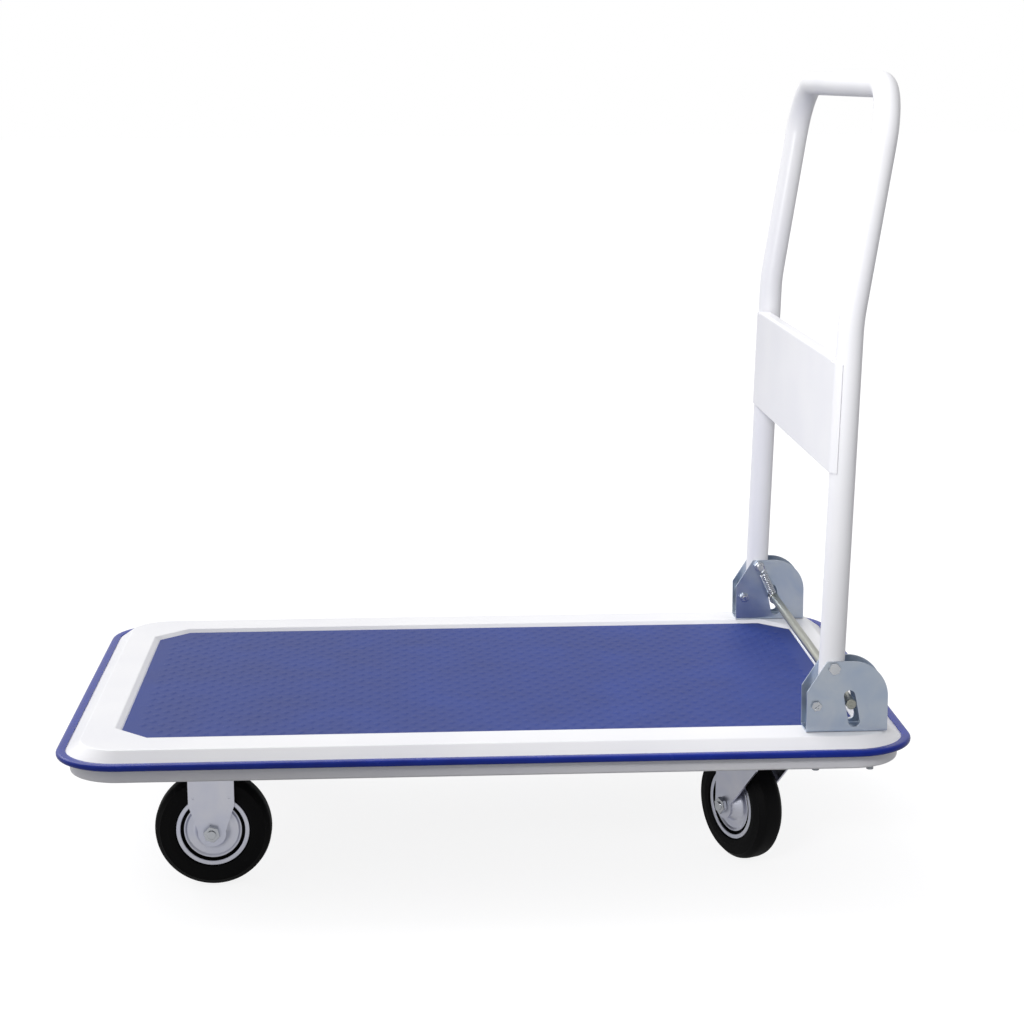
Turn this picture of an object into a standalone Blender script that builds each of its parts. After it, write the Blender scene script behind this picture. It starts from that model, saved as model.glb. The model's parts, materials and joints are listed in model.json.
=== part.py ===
# Folding platform cart: a pressed steel deck on two rigid and two swivel castors, with a fold-down handle.
# Metres, +Z up. X runs along the deck with the handle at +X, Y across it, and the floor is Z = 0.
# The origin is on the floor, under the middle of the deck.

import math

import bmesh
import bpy
from mathutils import Vector

PART_NAME = "folding_platform_cart"
CLEAR = 0.0003  # gap between pieces that touch
WELD = 0.00001  # points this close are one
PAST = 0.010  # how far a cutter runs past the face that it cuts

# Deck
DECK_LENGTH = 0.910  # over the bumper
DECK_WIDTH = 0.610  # over the bumper
CORNER_RADIUS = 0.071  # of the bumper, seen from above
RIM_TOP = 0.170  # top of the deck's rim above the floor
PAN_SHEET = 0.0015
RIM_INSET = 0.026  # from the bumper's outer edge in to the edge of the flat rim
FLANGE_INSET = 0.0045  # from the bumper's outer edge in to the edge of the folded flange
SLOPE_INSET = 0.0102  # where the rim's slope meets the flange
FLANGE_DROP = 0.0124  # from the rim's top down to the flange
HEM_GAP = 0.0022  # between the two layers of the folded flange, middle to middle
SKIRT_INSET = 0.01475
SKIRT_DROP = 0.0326  # from the rim's top down to the skirt's bottom edge
SKIRT_RETURN = 0.009  # the skirt's bottom edge, turned in
MAT_FRONT_MARGIN = 0.0647
MAT_REAR_MARGIN = 0.0559
MAT_SIDE_MARGIN = 0.076
MAT_CHAMFER = 0.034
MAT_THICKNESS = 0.002
MAT_BELOW_RIM = 0.003
STEP_WIDTH = 0.007  # of the slope round the mat
CORNER_STEPS = 5  # faces round each corner of the deck

# Bumper
BUMPER_HEIGHT = 0.0070
BUMPER_LIP = 0.0099  # how far its lips reach in over the flange

# Cross members under the deck
MEMBER_SHEET = 0.002
MEMBER_WIDTH = 0.066
MEMBER_FLANGE = 0.016
MEMBER_BOTTOM = 0.1503
MEMBER_END_MARGIN = 0.0685  # from the bumper's outer edge to the member's end

# Handle brackets
BRACKET_LENGTH = 0.0866
BRACKET_HEIGHT = 0.077
BRACKET_WIDTH = 0.032
BRACKET_SHEET = 0.002
BRACKET_REAR_MARGIN = 0.0311  # from the bumper's outer edge to the bracket
BRACKET_SIDE_MARGIN = 0.039
BRACKET_SHOULDER = 0.044  # height where the front edge starts to slope
BRACKET_SLOPE = 0.021
BRACKET_ARC = 0.039
BRACKET_BOLT_INSET = 0.014  # from each end of the bracket to its bolt

# Bolts: radius of the shank, across the flats of the head, and its height
BRACKET_BOLT = {"shank": 0.004, "flats": 0.013, "head": 0.0050}
PIVOT_BOLT = {"shank": 0.004, "flats": 0.0115, "head": 0.0040}
STOP_BOLT = {"shank": 0.003, "flats": 0.010, "head": 0.0035}
NUT_HEIGHT = 0.0055
BRACKET_BOLT_END = 0.046  # how far below the rim's top the bracket bolts end
PIVOT_BOLT_TAIL = 0.014  # beyond the inner cheek, for the spring to hook on
STOP_BOLT_TAIL = 0.007
STOP_ABOVE_RIM = 0.0296  # the stop bolt, which the handle's leg comes up against
STOP_NUT_HEIGHT = 0.0045
AXLE_BOLT_TAIL = 0.0015  # beyond its nut
HOLE_CLEAR = 0.0004

# Supports under the brackets
SUPPORT_BOTTOM_DROP = 0.032
SUPPORT_SHEET = 0.002
SUPPORT_WIDTH = 0.021
SUPPORT_END_INSET = 0.006

# Handle
TUBE_RADIUS = 0.0136
TUBE_WALL = 0.0016
PIVOT_BEHIND_FRONT = 0.0287  # from the bracket's front edge to the pivot
PIVOT_ABOVE_RIM = 0.070
HANDLE_LEAN = math.radians(1.9)  # of the lower part, away from the deck
HANDLE_BEND = math.radians(7.1)  # of the upper part over the lower part
BEND_HEIGHT = 0.365  # along the tube, from the pivot
UPPER_LENGTH = 0.242  # from the bend to the middle of the crossbar
BEND_RADIUS = 0.250
GRIP_CORNER_RADIUS = 0.062
TUBE_TAIL = 0.034  # tube below the pivot
GRIP_STEPS = 6  # bends in each corner of the grip
BEND_STEPS = 3

# Panel between the handle's legs
PANEL_SHEET = 0.0012
PANEL_LOW = 0.207  # along the tube, from the pivot
PANEL_HEIGHT = 0.117
PANEL_FLANGE = 0.012
PANEL_FLANGE_GAP = 0.002  # from the turned-back edge's ends to the legs
PANEL_WRAP = math.radians(56)  # how far it wraps round each leg's outer flank
WRAP_STEPS = 5

# Lock bar
BAR_RADIUS = 0.0054
BAR_BEHIND_PIVOT = 0.0186
BAR_BELOW_PIVOT = 0.0390
BAR_END = 0.003  # how far it stands out of the brackets
SLOT_TILT = math.radians(11)
SLOT_UP = 0.009  # slot above the bar at rest, middle to middle
SLOT_DOWN = 0.0195  # slot below the bar at rest, middle to middle
SLOT_CLEAR = 0.0006

# Lock springs
SPRING_RADIUS = 0.0050
SPRING_WIRE = 0.0007
SPRING_TURNS = 6
SPRING_STEPS = 6  # points in a turn
SPRING_TOP_GAP = 0.0075
SPRING_BOTTOM_GAP = 0.0080
SPRING_OFFSET = 0.0155  # from the bracket's inner face

# Wheels
WHEEL_RADIUS = 0.0625
TYRE_HALF_WIDTH = 0.016
TYRE_BEAD_RADIUS = 0.0342
TYRE_FLANK_RADIUS = 0.047  # where the flank is widest
TYRE_FLANK_DRAFT = 0.0005
TYRE_FOOT = 0.001  # from the rim's flange up to the flank
TYRE_CROWN_FLATNESS = 0.9
TYRE_CROWN_HALF_ANGLE = math.radians(62)
RIM_FLANGE_RADIUS = 0.0394
RIM_FLANGE_HALF_WIDTH = 0.0142
RIM_SHEET = 0.0016
RIM_DISC_RADIUS = 0.031
RIM_DISC_INSET = 0.001  # from the flange's outer face to the disc's edge
RIM_DISC_DISH = 0.001
RIM_GROOVE_DEPTH = 0.005  # of the groove between the disc and the flange
RIM_DRAFT = 0.0008
HUB_FILLET = 0.004
HUB_RADIUS = 0.012
HUB_HALF_WIDTH = 0.020
HUB_BORE = 0.0071
SLEEVE_RADIUS = 0.0066
AXLE_RADIUS = 0.0048
SLEEVE_BORE = 0.0053
WHEEL_STEPS = 20
SMALL_STEPS = 12
HOLE_STEPS = 8
CROWN_STEPS = 24

# Castors
FORK_SHEET = 0.0025
FORK_GAP = 0.0213  # from the wheel's middle plane to the inside of a fork cheek
FORK_BOSS = 0.015
PLATE_SHEET = 0.003
PLATE_LENGTH = 0.092
PLATE_WIDTH = 0.066
PLATE_HOLE_RADIUS = 0.0042
PLATE_HOLE_INSET = 0.010
FRONT_FORK_WIDTH = 0.049
FRONT_FORK_TAPER = 0.093  # height where the rigid fork starts to narrow
FRONT_AXLE_X = 0.161  # from the deck's front edge
FRONT_TRACK_INSET = 0.093  # from the deck's side
REAR_SWIVEL_X = 0.153  # from the deck's rear edge
REAR_TRACK_INSET = 0.102
TRAIL = 0.040
TRAIL_ANGLE = math.radians(116.3)  # the way the rear wheels trail, from +X
FORK_TOP = 0.137
FORK_FRONT_REACH = 0.0216  # from the swivel's axis, away from the wheel
FORK_FRONT_EDGE = 0.019  # height of the cheek's front edge
FORK_SWEEP = ((-0.002, 0.040), (0.010, 0.053))  # along and down from the crown, on the swept front edge
FORK_REAR_REACH = 0.048
FORK_REAR_FLARE = 0.006
FORK_REAR_EDGE = 0.037
BOSS_STEPS = 10
RACE_RADIUS = 0.027
RACE_INNER_RADIUS = 0.012
RACE_WAIST = 0.003  # depth of the groove between the two halves
RACE_STEP = 0.001
KINGPIN_RADIUS = 0.006
KINGPIN_HEAD = 0.010
KINGPIN_HEAD_EDGE = 0.002
KINGPIN_HEAD_HEIGHT = 0.004
AXLE_BOLT = {"shank": AXLE_RADIUS, "flats": 0.016, "head": 0.006}

# Worked out from the sizes above
HALF_LENGTH = DECK_LENGTH / 2
HALF_WIDTH = DECK_WIDTH / 2
MAT_TOP = RIM_TOP - MAT_BELOW_RIM
FLOOR_TOP = MAT_TOP - MAT_THICKNESS - CLEAR
FLOOR_BOTTOM = FLOOR_TOP - PAN_SHEET
FLANGE_Z = RIM_TOP - FLANGE_DROP
BRACKET_X1 = HALF_LENGTH - BRACKET_REAR_MARGIN
BRACKET_X0 = BRACKET_X1 - BRACKET_LENGTH
BRACKET_Y1 = HALF_WIDTH - BRACKET_SIDE_MARGIN
BRACKET_Y0 = BRACKET_Y1 - BRACKET_WIDTH
BRACKET_Y = (BRACKET_Y0 + BRACKET_Y1) / 2
BRACKET_BASE = RIM_TOP + CLEAR
PIVOT_X = BRACKET_X0 + PIVOT_BEHIND_FRONT
PIVOT_Z = RIM_TOP + PIVOT_ABOVE_RIM
BAR_X = PIVOT_X + BAR_BEHIND_PIVOT
BAR_Z = PIVOT_Z - BAR_BELOW_PIVOT
STOP_DROP = PIVOT_ABOVE_RIM - STOP_ABOVE_RIM
STOP_GAP = TUBE_RADIUS + STOP_BOLT["shank"] + CLEAR  # from the leg's middle line to the stop bolt's
STOP_X = PIVOT_X - STOP_DROP * math.sin(HANDLE_LEAN) - STOP_GAP
STOP_Z = PIVOT_Z - STOP_DROP
BOLT_XS = {"front": BRACKET_X0 + BRACKET_BOLT_INSET, "rear": BRACKET_X1 - BRACKET_BOLT_INSET}
SIDES = {"left": -1, "right": 1}
MEMBER_HALF_LENGTH = HALF_WIDTH - MEMBER_END_MARGIN
BRACKET_BOLT_HOLE = BRACKET_BOLT["shank"] + HOLE_CLEAR
PLATE_TOP = MEMBER_BOTTOM - CLEAR
PLATE_BOTTOM = PLATE_TOP - PLATE_SHEET
AXLE_HALF_LENGTH = FORK_GAP + FORK_SHEET


def new_collection(name, parent):
    collection = bpy.data.collections.new(name)
    parent.children.link(collection)
    return collection


def clear_scene():
    for thing in list(bpy.data.objects):
        bpy.data.objects.remove(thing, do_unlink=True)


clear_scene()
PARTS = new_collection(PART_NAME, bpy.context.scene.collection)
CUTTERS = new_collection(PART_NAME + "_cutters", bpy.context.scene.collection)


# ---------- materials ----------

def material(name, colour, roughness, metallic):
    made = bpy.data.materials.get(name)
    if made is None:
        made = bpy.data.materials.new(name)
        made.use_nodes = True
        shader = made.node_tree.nodes["Principled BSDF"]
        shader.inputs["Base Color"].default_value = (*colour, 1.0)
        shader.inputs["Roughness"].default_value = roughness
        shader.inputs["Metallic"].default_value = metallic
    return made


FINISHES = {
    "white_paint": ((0.86, 0.87, 0.90), 0.35, 0.0),
    "mat_vinyl": ((0.07, 0.10, 0.30), 0.60, 0.0),
    "bumper_vinyl": ((0.01, 0.03, 0.25), 0.30, 0.0),
    "zinc": ((0.62, 0.66, 0.70), 0.32, 1.0),
    "steel_bar": ((0.45, 0.45, 0.40), 0.35, 1.0),
    "tyre": ((0.012, 0.012, 0.013), 0.70, 0.0),
}


# ---------- making objects ----------

def finish_object(name, mesh, finish, parent=None):
    thing = bpy.data.objects.new(name, mesh)
    PARTS.objects.link(thing)
    mesh.materials.clear()
    mesh.materials.append(material(finish, *FINISHES[finish]))
    thing.parent = parent
    return thing


def cutter_object(mesh, parent=None):
    thing = bpy.data.objects.new("cutter", mesh)
    CUTTERS.objects.link(thing)
    thing.hide_render = True
    thing.display_type = "WIRE"
    thing.parent = parent
    return thing


def empty(name, location, turn=(0.0, 0.0, 0.0)):
    thing = bpy.data.objects.new(name, None)
    PARTS.objects.link(thing)
    thing.location = location
    thing.rotation_euler = turn
    return thing


def mesh_from(shape, name):
    bmesh.ops.recalc_face_normals(shape, faces=shape.faces)
    mesh = bpy.data.meshes.new(name)
    shape.to_mesh(mesh)
    shape.free()
    return mesh


def smooth(thing):
    thing.data.shade_smooth()
    thing.data.set_sharp_from_angle(angle=math.radians(35))


def box_mesh(low, high):
    """A block between two corners."""
    shape = bmesh.new()
    bmesh.ops.create_cube(shape, size=1.0)
    low = Vector(low)
    high = Vector(high)
    for vert in shape.verts:
        vert.co = Vector(low[i] + (high[i] - low[i]) * (vert.co[i] + 0.5) for i in range(3))
    return mesh_from(shape, "box")


def prism_mesh(outline, axis, low, high):
    """A flat outline in the plane across an axis, drawn out along that axis from low to high."""
    places = {"X": lambda a, b: (low, a, b), "Y": lambda a, b: (a, low, b), "Z": lambda a, b: (a, b, low)}
    shape = bmesh.new()
    face = shape.faces.new([shape.verts.new(places[axis](a, b)) for a, b in outline])
    grown = bmesh.ops.extrude_face_region(shape, geom=[face])["geom"]
    moved = [item for item in grown if isinstance(item, bmesh.types.BMVert)]
    step = Vector(places[axis](0.0, 0.0)) * 0.0
    step["XYZ".index(axis)] = high - low
    bmesh.ops.translate(shape, verts=moved, vec=step)
    return mesh_from(shape, "prism")


def arc(centre, radius, start, end, steps):
    """Points on an arc, from one angle to another, both ends included."""
    angles = [start + (end - start) * i / steps for i in range(steps + 1)]
    return [(centre[0] + radius * math.cos(a), centre[1] + radius * math.sin(a)) for a in angles]


def rod_mesh(radius, low, high, centre=(0.0, 0.0), axis="Y", steps=SMALL_STEPS):
    """A round rod along an axis, with its middle line at centre."""
    return prism_mesh(arc(centre, radius, 0.0, 2 * math.pi * (1 - 1 / steps), steps - 1), axis, low, high)


def add_boolean(thing, other, operation="DIFFERENCE"):
    cut = thing.modifiers.new(operation.title(), "BOOLEAN")
    cut.operation = operation
    cut.object = other


def drill(thing, radius, low, high, centre, axis="Y", parent=None, steps=SMALL_STEPS):
    add_boolean(thing, cutter_object(rod_mesh(radius, low, high, centre, axis, steps), parent))


def turned(name, profile, finish, parent, steps=WHEEL_STEPS, across=True):
    """A closed profile of (radius, height) points, turned about the piece's own axis: Y if across, or Z."""
    mesh = bpy.data.meshes.new(name)
    count = len(profile)
    mesh.from_pydata(
        [(radius, 0.0, height) for radius, height in profile],
        [(i, (i + 1) % count) for i in range(count)],
        [],
    )
    thing = finish_object(name, mesh, finish, parent)
    thing.rotation_euler.x = math.radians(90) if across else 0.0
    screw = thing.modifiers.new("Turn", "SCREW")
    screw.steps = steps
    screw.render_steps = steps
    screw.use_merge_vertices = True
    screw.merge_threshold = WELD
    screw.use_smooth_shade = False
    return thing


def hexagon(flats, centre):
    return arc(centre, flats / 2 / math.cos(math.pi / 6), 0.0, 2 * math.pi * 5 / 6, 5)


def bolt(name, size, centre, head_at, end_at, axis="Y", parent=None):
    """A hexagon-headed bolt along an axis: its head's inner face is at head_at and its tip at end_at."""
    way = 1 if end_at > head_at else -1
    outer = head_at - way * size["head"]
    head = prism_mesh(hexagon(size["flats"], centre), axis, min(head_at, outer), max(head_at, outer))
    thing = finish_object(name, head, "zinc", parent)
    start = head_at - way * size["head"] / 2
    shank = rod_mesh(size["shank"], min(start, end_at), max(start, end_at), centre, axis)
    add_boolean(thing, cutter_object(shank, parent), "UNION")
    return thing


def nut(name, size, centre, face_at, way, axis="Y", parent=None, height=NUT_HEIGHT):
    """A hexagon nut with its face at face_at, standing away from it."""
    low, high = sorted((face_at, face_at + way * height))
    thing = finish_object(name, prism_mesh(hexagon(size["flats"], centre), axis, low, high), "zinc", parent)
    drill(thing, size["shank"] + CLEAR, low - PAST, high + PAST, centre, axis, parent)
    return thing


# ---------- deck ----------

def rounded_ring(inset, z):
    """A ring of points round the deck, at a distance in from the bumper's outer edge."""
    radius = CORNER_RADIUS - inset
    ring = []
    for quarter in range(4):
        sign_x = (1, -1, -1, 1)[quarter]
        sign_y = (1, 1, -1, -1)[quarter]
        middle = (sign_x * (HALF_LENGTH - CORNER_RADIUS), sign_y * (HALF_WIDTH - CORNER_RADIUS))
        start = quarter * math.pi / 2
        ring += [(x, y, z) for x, y in arc(middle, radius, start, start + math.pi / 2, CORNER_STEPS)]
    return ring


def mat_ring(grow, z):
    """A ring of points round the mat's outline, grown by a distance, with as many points as the deck's."""
    x0 = -HALF_LENGTH + MAT_FRONT_MARGIN - grow
    x1 = HALF_LENGTH - MAT_REAR_MARGIN + grow
    y1 = HALF_WIDTH - MAT_SIDE_MARGIN + grow
    cut = MAT_CHAMFER + grow * (2 - math.sqrt(2))
    corners = [
        ((x1, y1 - cut), (x1 - cut, y1)),
        ((x0 + cut, y1), (x0, y1 - cut)),
        ((x0, -y1 + cut), (x0 + cut, -y1)),
        ((x1 - cut, -y1), (x1, -y1 + cut)),
    ]
    ring = []
    for start, end in corners:
        for i in range(CORNER_STEPS + 1):
            share = i / CORNER_STEPS
            ring.append((start[0] + (end[0] - start[0]) * share, start[1] + (end[1] - start[1]) * share, z))
    return ring


def loft(rings, cap_first=False, join_ends=False):
    """A skin over rings that have the same number of points."""
    shape = bmesh.new()
    rows = [[shape.verts.new(point) for point in ring] for ring in rings]
    if cap_first:
        shape.faces.new(rows[0])
    pairs = list(zip(rows, rows[1:]))
    if join_ends:
        pairs.append((rows[-1], rows[0]))
    for upper, lower in pairs:
        for i in range(len(upper)):
            after = (i + 1) % len(upper)
            shape.faces.new((upper[i], upper[after], lower[after], lower[i]))
    return mesh_from(shape, "loft")


def deck_pan():
    half = PAN_SHEET / 2
    rim = RIM_TOP - half
    flange = FLANGE_Z + half
    hem = flange - HEM_GAP
    skirt = RIM_TOP - SKIRT_DROP + half
    rings = [
        mat_ring(CLEAR + half, FLOOR_TOP - half),
        mat_ring(CLEAR + STEP_WIDTH, rim),
        rounded_ring(RIM_INSET, rim),
        rounded_ring(SLOPE_INSET, flange),
        rounded_ring(FLANGE_INSET, flange),
        rounded_ring(FLANGE_INSET, hem),
        rounded_ring(SKIRT_INSET, hem),
        rounded_ring(SKIRT_INSET, skirt),
        rounded_ring(SKIRT_INSET + SKIRT_RETURN, skirt),
    ]
    pan = finish_object("deck_pan", loft(rings, cap_first=True), "white_paint")
    wall = pan.modifiers.new("Sheet", "SOLIDIFY")
    wall.thickness = PAN_SHEET
    wall.offset = 0.0
    wall.use_even_offset = True
    bottom = RIM_TOP - PAN_SHEET * 3
    for side in SIDES.values():
        for x in BOLT_XS.values():
            centre = (x, side * BRACKET_Y)
            drill(pan, BRACKET_BOLT_HOLE, bottom, RIM_TOP + PAST, centre, "Z", steps=HOLE_STEPS)
    return pan


def deck_mat():
    rings = [mat_ring(0.0, FLOOR_TOP + CLEAR), mat_ring(0.0, MAT_TOP)]
    mesh = loft(rings)
    shape = bmesh.new()
    shape.from_mesh(mesh)
    bmesh.ops.holes_fill(shape, edges=[edge for edge in shape.edges if edge.is_boundary])
    return finish_object("deck_mat", mesh_from(shape, "mat"), "mat_vinyl")


def bumper_strip():
    """A soft strip with a C section, clipped over the deck's folded flange."""
    half = PAN_SHEET / 2
    upper = FLANGE_Z + PAN_SHEET + CLEAR
    lower = FLANGE_Z - HEM_GAP - CLEAR
    top = upper + (BUMPER_HEIGHT - (upper - lower)) / 2
    bottom = top - BUMPER_HEIGHT
    middle = (top + bottom) / 2
    nose = BUMPER_HEIGHT / 2
    inner = FLANGE_INSET - half - CLEAR
    outside = [
        (nose + nose * math.cos(a), middle + nose * math.sin(a))
        for a in [math.radians(90 + 45 * i) for i in range(5)]
    ]
    section = [(BUMPER_LIP, top - CLEAR)] + outside + [(BUMPER_LIP, bottom + CLEAR)]
    section += [(BUMPER_LIP, lower), (inner, lower), (inner, upper), (BUMPER_LIP, upper)]
    rings = [rounded_ring(inset, z) for inset, z in section]
    return finish_object("bumper_strip", loft(rings, join_ends=True), "bumper_vinyl")


def cross_member(name, x):
    """An open channel across the deck, flanged at the top, that the castors bolt to."""
    top = FLOOR_BOTTOM - CLEAR
    half = MEMBER_WIDTH / 2
    outer = half + MEMBER_FLANGE
    sheet = MEMBER_SHEET
    profile = [
        (x - outer, top),
        (x - outer, top - sheet),
        (x - half, top - sheet),
        (x - half, MEMBER_BOTTOM),
        (x + half, MEMBER_BOTTOM),
        (x + half, top - sheet),
        (x + outer, top - sheet),
        (x + outer, top),
        (x + half - sheet, top),
        (x + half - sheet, MEMBER_BOTTOM + sheet),
        (x - half + sheet, MEMBER_BOTTOM + sheet),
        (x - half + sheet, top),
    ]
    mesh = prism_mesh(profile, "Y", -MEMBER_HALF_LENGTH, MEMBER_HALF_LENGTH)
    return finish_object(name, mesh, "white_paint")


def bracket_support(name, side):
    """A channel under the rim, between the bracket bolts' nuts and the deck."""
    top = RIM_TOP - PAN_SHEET - CLEAR
    bottom = RIM_TOP - SUPPORT_BOTTOM_DROP
    sheet = SUPPORT_SHEET
    y0 = BRACKET_Y - SUPPORT_WIDTH / 2
    y1 = BRACKET_Y + SUPPORT_WIDTH / 2
    profile = [
        (side * y0, top),
        (side * y1, top),
        (side * y1, bottom),
        (side * y0, bottom),
        (side * y0, bottom + sheet),
        (side * (y1 - sheet), bottom + sheet),
        (side * (y1 - sheet), top - sheet),
        (side * y0, top - sheet),
    ]
    mesh = prism_mesh(profile, "X", BRACKET_X0 + SUPPORT_END_INSET, BRACKET_X1 - SUPPORT_END_INSET)
    support = finish_object(name, mesh, "white_paint")
    for x in BOLT_XS.values():
        centre = (x, side * BRACKET_Y)
        drill(support, BRACKET_BOLT_HOLE, bottom - PAST, top + PAST, centre, "Z", steps=HOLE_STEPS)
    return support


# ---------- handle brackets ----------

def slot_outline():
    """The bar's slot: a long hole with round ends, tilted so that its top leans towards the deck."""
    radius = BAR_RADIUS + SLOT_CLEAR
    lean = Vector((-math.sin(SLOT_TILT), math.cos(SLOT_TILT)))
    upper = Vector((BAR_X, BAR_Z)) + lean * SLOT_UP
    lower = Vector((BAR_X, BAR_Z)) - lean * SLOT_DOWN
    top_end = arc(upper, radius, SLOT_TILT, SLOT_TILT + math.pi, HOLE_STEPS)
    bottom_end = arc(lower, radius, SLOT_TILT + math.pi, SLOT_TILT + 2 * math.pi, HOLE_STEPS)
    return top_end + bottom_end


def bracket(name, side):
    """A U-shaped plate bracket: a base and two cheeks, sloped in front and rounded at the back."""
    top = BRACKET_BASE + BRACKET_HEIGHT
    shoulder = BRACKET_BASE + BRACKET_SHOULDER
    outline = [(BRACKET_X0, BRACKET_BASE), (BRACKET_X1, BRACKET_BASE)]
    outline += arc((BRACKET_X1 - BRACKET_ARC, top - BRACKET_ARC), BRACKET_ARC, 0.0, math.pi / 2, HOLE_STEPS)
    outline += [(BRACKET_X0 + BRACKET_SLOPE, top), (BRACKET_X0, shoulder)]
    low, high = sorted((side * BRACKET_Y0, side * BRACKET_Y1))
    thing = finish_object(name, prism_mesh(outline, "Y", low, high), "zinc")
    inside_low = (BRACKET_X0 - PAST, low + BRACKET_SHEET, BRACKET_BASE + BRACKET_SHEET)
    inside_high = (BRACKET_X1 + PAST, high - BRACKET_SHEET, top + PAST)
    add_boolean(thing, cutter_object(box_mesh(inside_low, inside_high)))
    add_boolean(thing, cutter_object(prism_mesh(slot_outline(), "Y", low - PAST, high + PAST)))
    drill(thing, PIVOT_BOLT["shank"] + HOLE_CLEAR, low - PAST, high + PAST, (PIVOT_X, PIVOT_Z))
    drill(thing, STOP_BOLT["shank"] + HOLE_CLEAR, low - PAST, high + PAST, (STOP_X, STOP_Z))
    seat = BRACKET_BASE + BRACKET_SHEET
    for x in BOLT_XS.values():
        centre = (x, side * BRACKET_Y)
        drill(thing, BRACKET_BOLT_HOLE, BRACKET_BASE - PAST, seat + PAST, centre, "Z", steps=HOLE_STEPS)
    return thing


def bracket_fasteners(word, side):
    """The bolts through a bracket, with their nuts."""
    outer = side * (BRACKET_Y1 + CLEAR)
    inner = side * (BRACKET_Y0 - CLEAR)
    pivot = (PIVOT_X, PIVOT_Z)
    stop = (STOP_X, STOP_Z)
    bolt(word + "_pivot_bolt", PIVOT_BOLT, pivot, outer, inner - side * PIVOT_BOLT_TAIL)
    nut(word + "_pivot_nut", PIVOT_BOLT, pivot, inner, -side)
    bolt(word + "_stop_bolt", STOP_BOLT, stop, outer, inner - side * STOP_BOLT_TAIL)
    nut(word + "_stop_nut", STOP_BOLT, stop, inner, -side, height=STOP_NUT_HEIGHT)
    seat = BRACKET_BASE + BRACKET_SHEET + CLEAR
    under = RIM_TOP - SUPPORT_BOTTOM_DROP - CLEAR
    for place, x in BOLT_XS.items():
        centre = (x, side * BRACKET_Y)
        bolt(f"{word}_bracket_bolt_{place}", BRACKET_BOLT, centre, seat, RIM_TOP - BRACKET_BOLT_END, "Z")
        nut(f"{word}_bracket_nut_{place}", BRACKET_BOLT, centre, under, -1, "Z")


def lock_bar():
    """The round bar through both brackets' slots, behind the handle's legs."""
    reach = BRACKET_Y1 + BAR_END
    hook = empty("lock_bar_slide", (BAR_X, 0.0, BAR_Z))
    bar = finish_object("lock_bar", rod_mesh(BAR_RADIUS, -reach, reach), "steel_bar", hook)
    smooth(bar)
    return bar


def tube_curve(name, points, radius, resolution, caps):
    data = bpy.data.curves.new(name, "CURVE")
    data.dimensions = "3D"
    data.bevel_depth = radius
    data.bevel_resolution = resolution
    data.use_fill_caps = caps
    spline = data.splines.new("POLY")
    spline.points.add(len(points) - 1)
    for point, place in zip(spline.points, points):
        point.co = (*place, 1.0)
    return data


def mesh_of_curve(data):
    """The curve's tube as a mesh, its caps welded on."""
    holder = bpy.data.objects.new("holder", data)
    CUTTERS.objects.link(holder)
    bpy.context.view_layer.update()
    graph = bpy.context.evaluated_depsgraph_get()
    mesh = bpy.data.meshes.new_from_object(holder.evaluated_get(graph))
    bpy.data.objects.remove(holder, do_unlink=True)
    shape = bmesh.new()
    shape.from_mesh(mesh)
    bmesh.ops.remove_doubles(shape, verts=shape.verts, dist=WELD)
    shape.to_mesh(mesh)
    shape.free()
    return mesh


def lock_spring(word, side):
    """A coil spring from the pivot bolt's tail down to the lock bar."""
    y = side * (BRACKET_Y0 - SPRING_OFFSET)
    start = Vector((PIVOT_X, y, PIVOT_Z))
    end = Vector((BAR_X, y, BAR_Z))
    along = (end - start).normalized()
    first = start + along * SPRING_TOP_GAP
    length = (end - start).length - SPRING_TOP_GAP - SPRING_BOTTOM_GAP
    across = Vector((0.0, 1.0, 0.0))
    third = along.cross(across)
    points = []
    count = SPRING_TURNS * SPRING_STEPS
    for i in range(count + 1):
        turn = 2 * math.pi * i / SPRING_STEPS
        spot = first + along * (length * i / count)
        points.append(spot + (across * math.cos(turn) + third * math.sin(turn)) * SPRING_RADIUS)
    data = tube_curve(word + "_lock_spring", points, SPRING_WIRE, 2, True)
    return finish_object(word + "_lock_spring", mesh_of_curve(data), "zinc")


# ---------- handle ----------

def handle_path():
    """The tube's middle line from one foot round to the other, in the handle's own frame: Z up the legs."""
    half = BRACKET_Y
    setback = BEND_RADIUS * math.tan(HANDLE_BEND / 2)
    side = [Vector((0.0, 0.0, -TUBE_TAIL)), Vector((0.0, 0.0, PANEL_LOW))]
    for i in range(BEND_STEPS + 1):
        angle = HANDLE_BEND * i / BEND_STEPS
        height = BEND_HEIGHT - setback + BEND_RADIUS * math.sin(angle)
        side.append(Vector((BEND_RADIUS * (1 - math.cos(angle)), 0.0, height)))
    knee = Vector((0.0, 0.0, BEND_HEIGHT))
    upper = Vector((math.sin(HANDLE_BEND), 0.0, math.cos(HANDLE_BEND)))
    points = [point + Vector((0.0, -half, 0.0)) for point in side]
    for i in range(GRIP_STEPS + 1):
        angle = math.pi / 2 * i / GRIP_STEPS
        inward = GRIP_CORNER_RADIUS * (1 - math.cos(angle))
        rise = UPPER_LENGTH - GRIP_CORNER_RADIUS * (1 - math.sin(angle))
        points.append(knee + upper * rise + Vector((0.0, -half + inward, 0.0)))
    mirrored = [Vector((point.x, -point.y, point.z)) for point in reversed(points)]
    return points + mirrored


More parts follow.
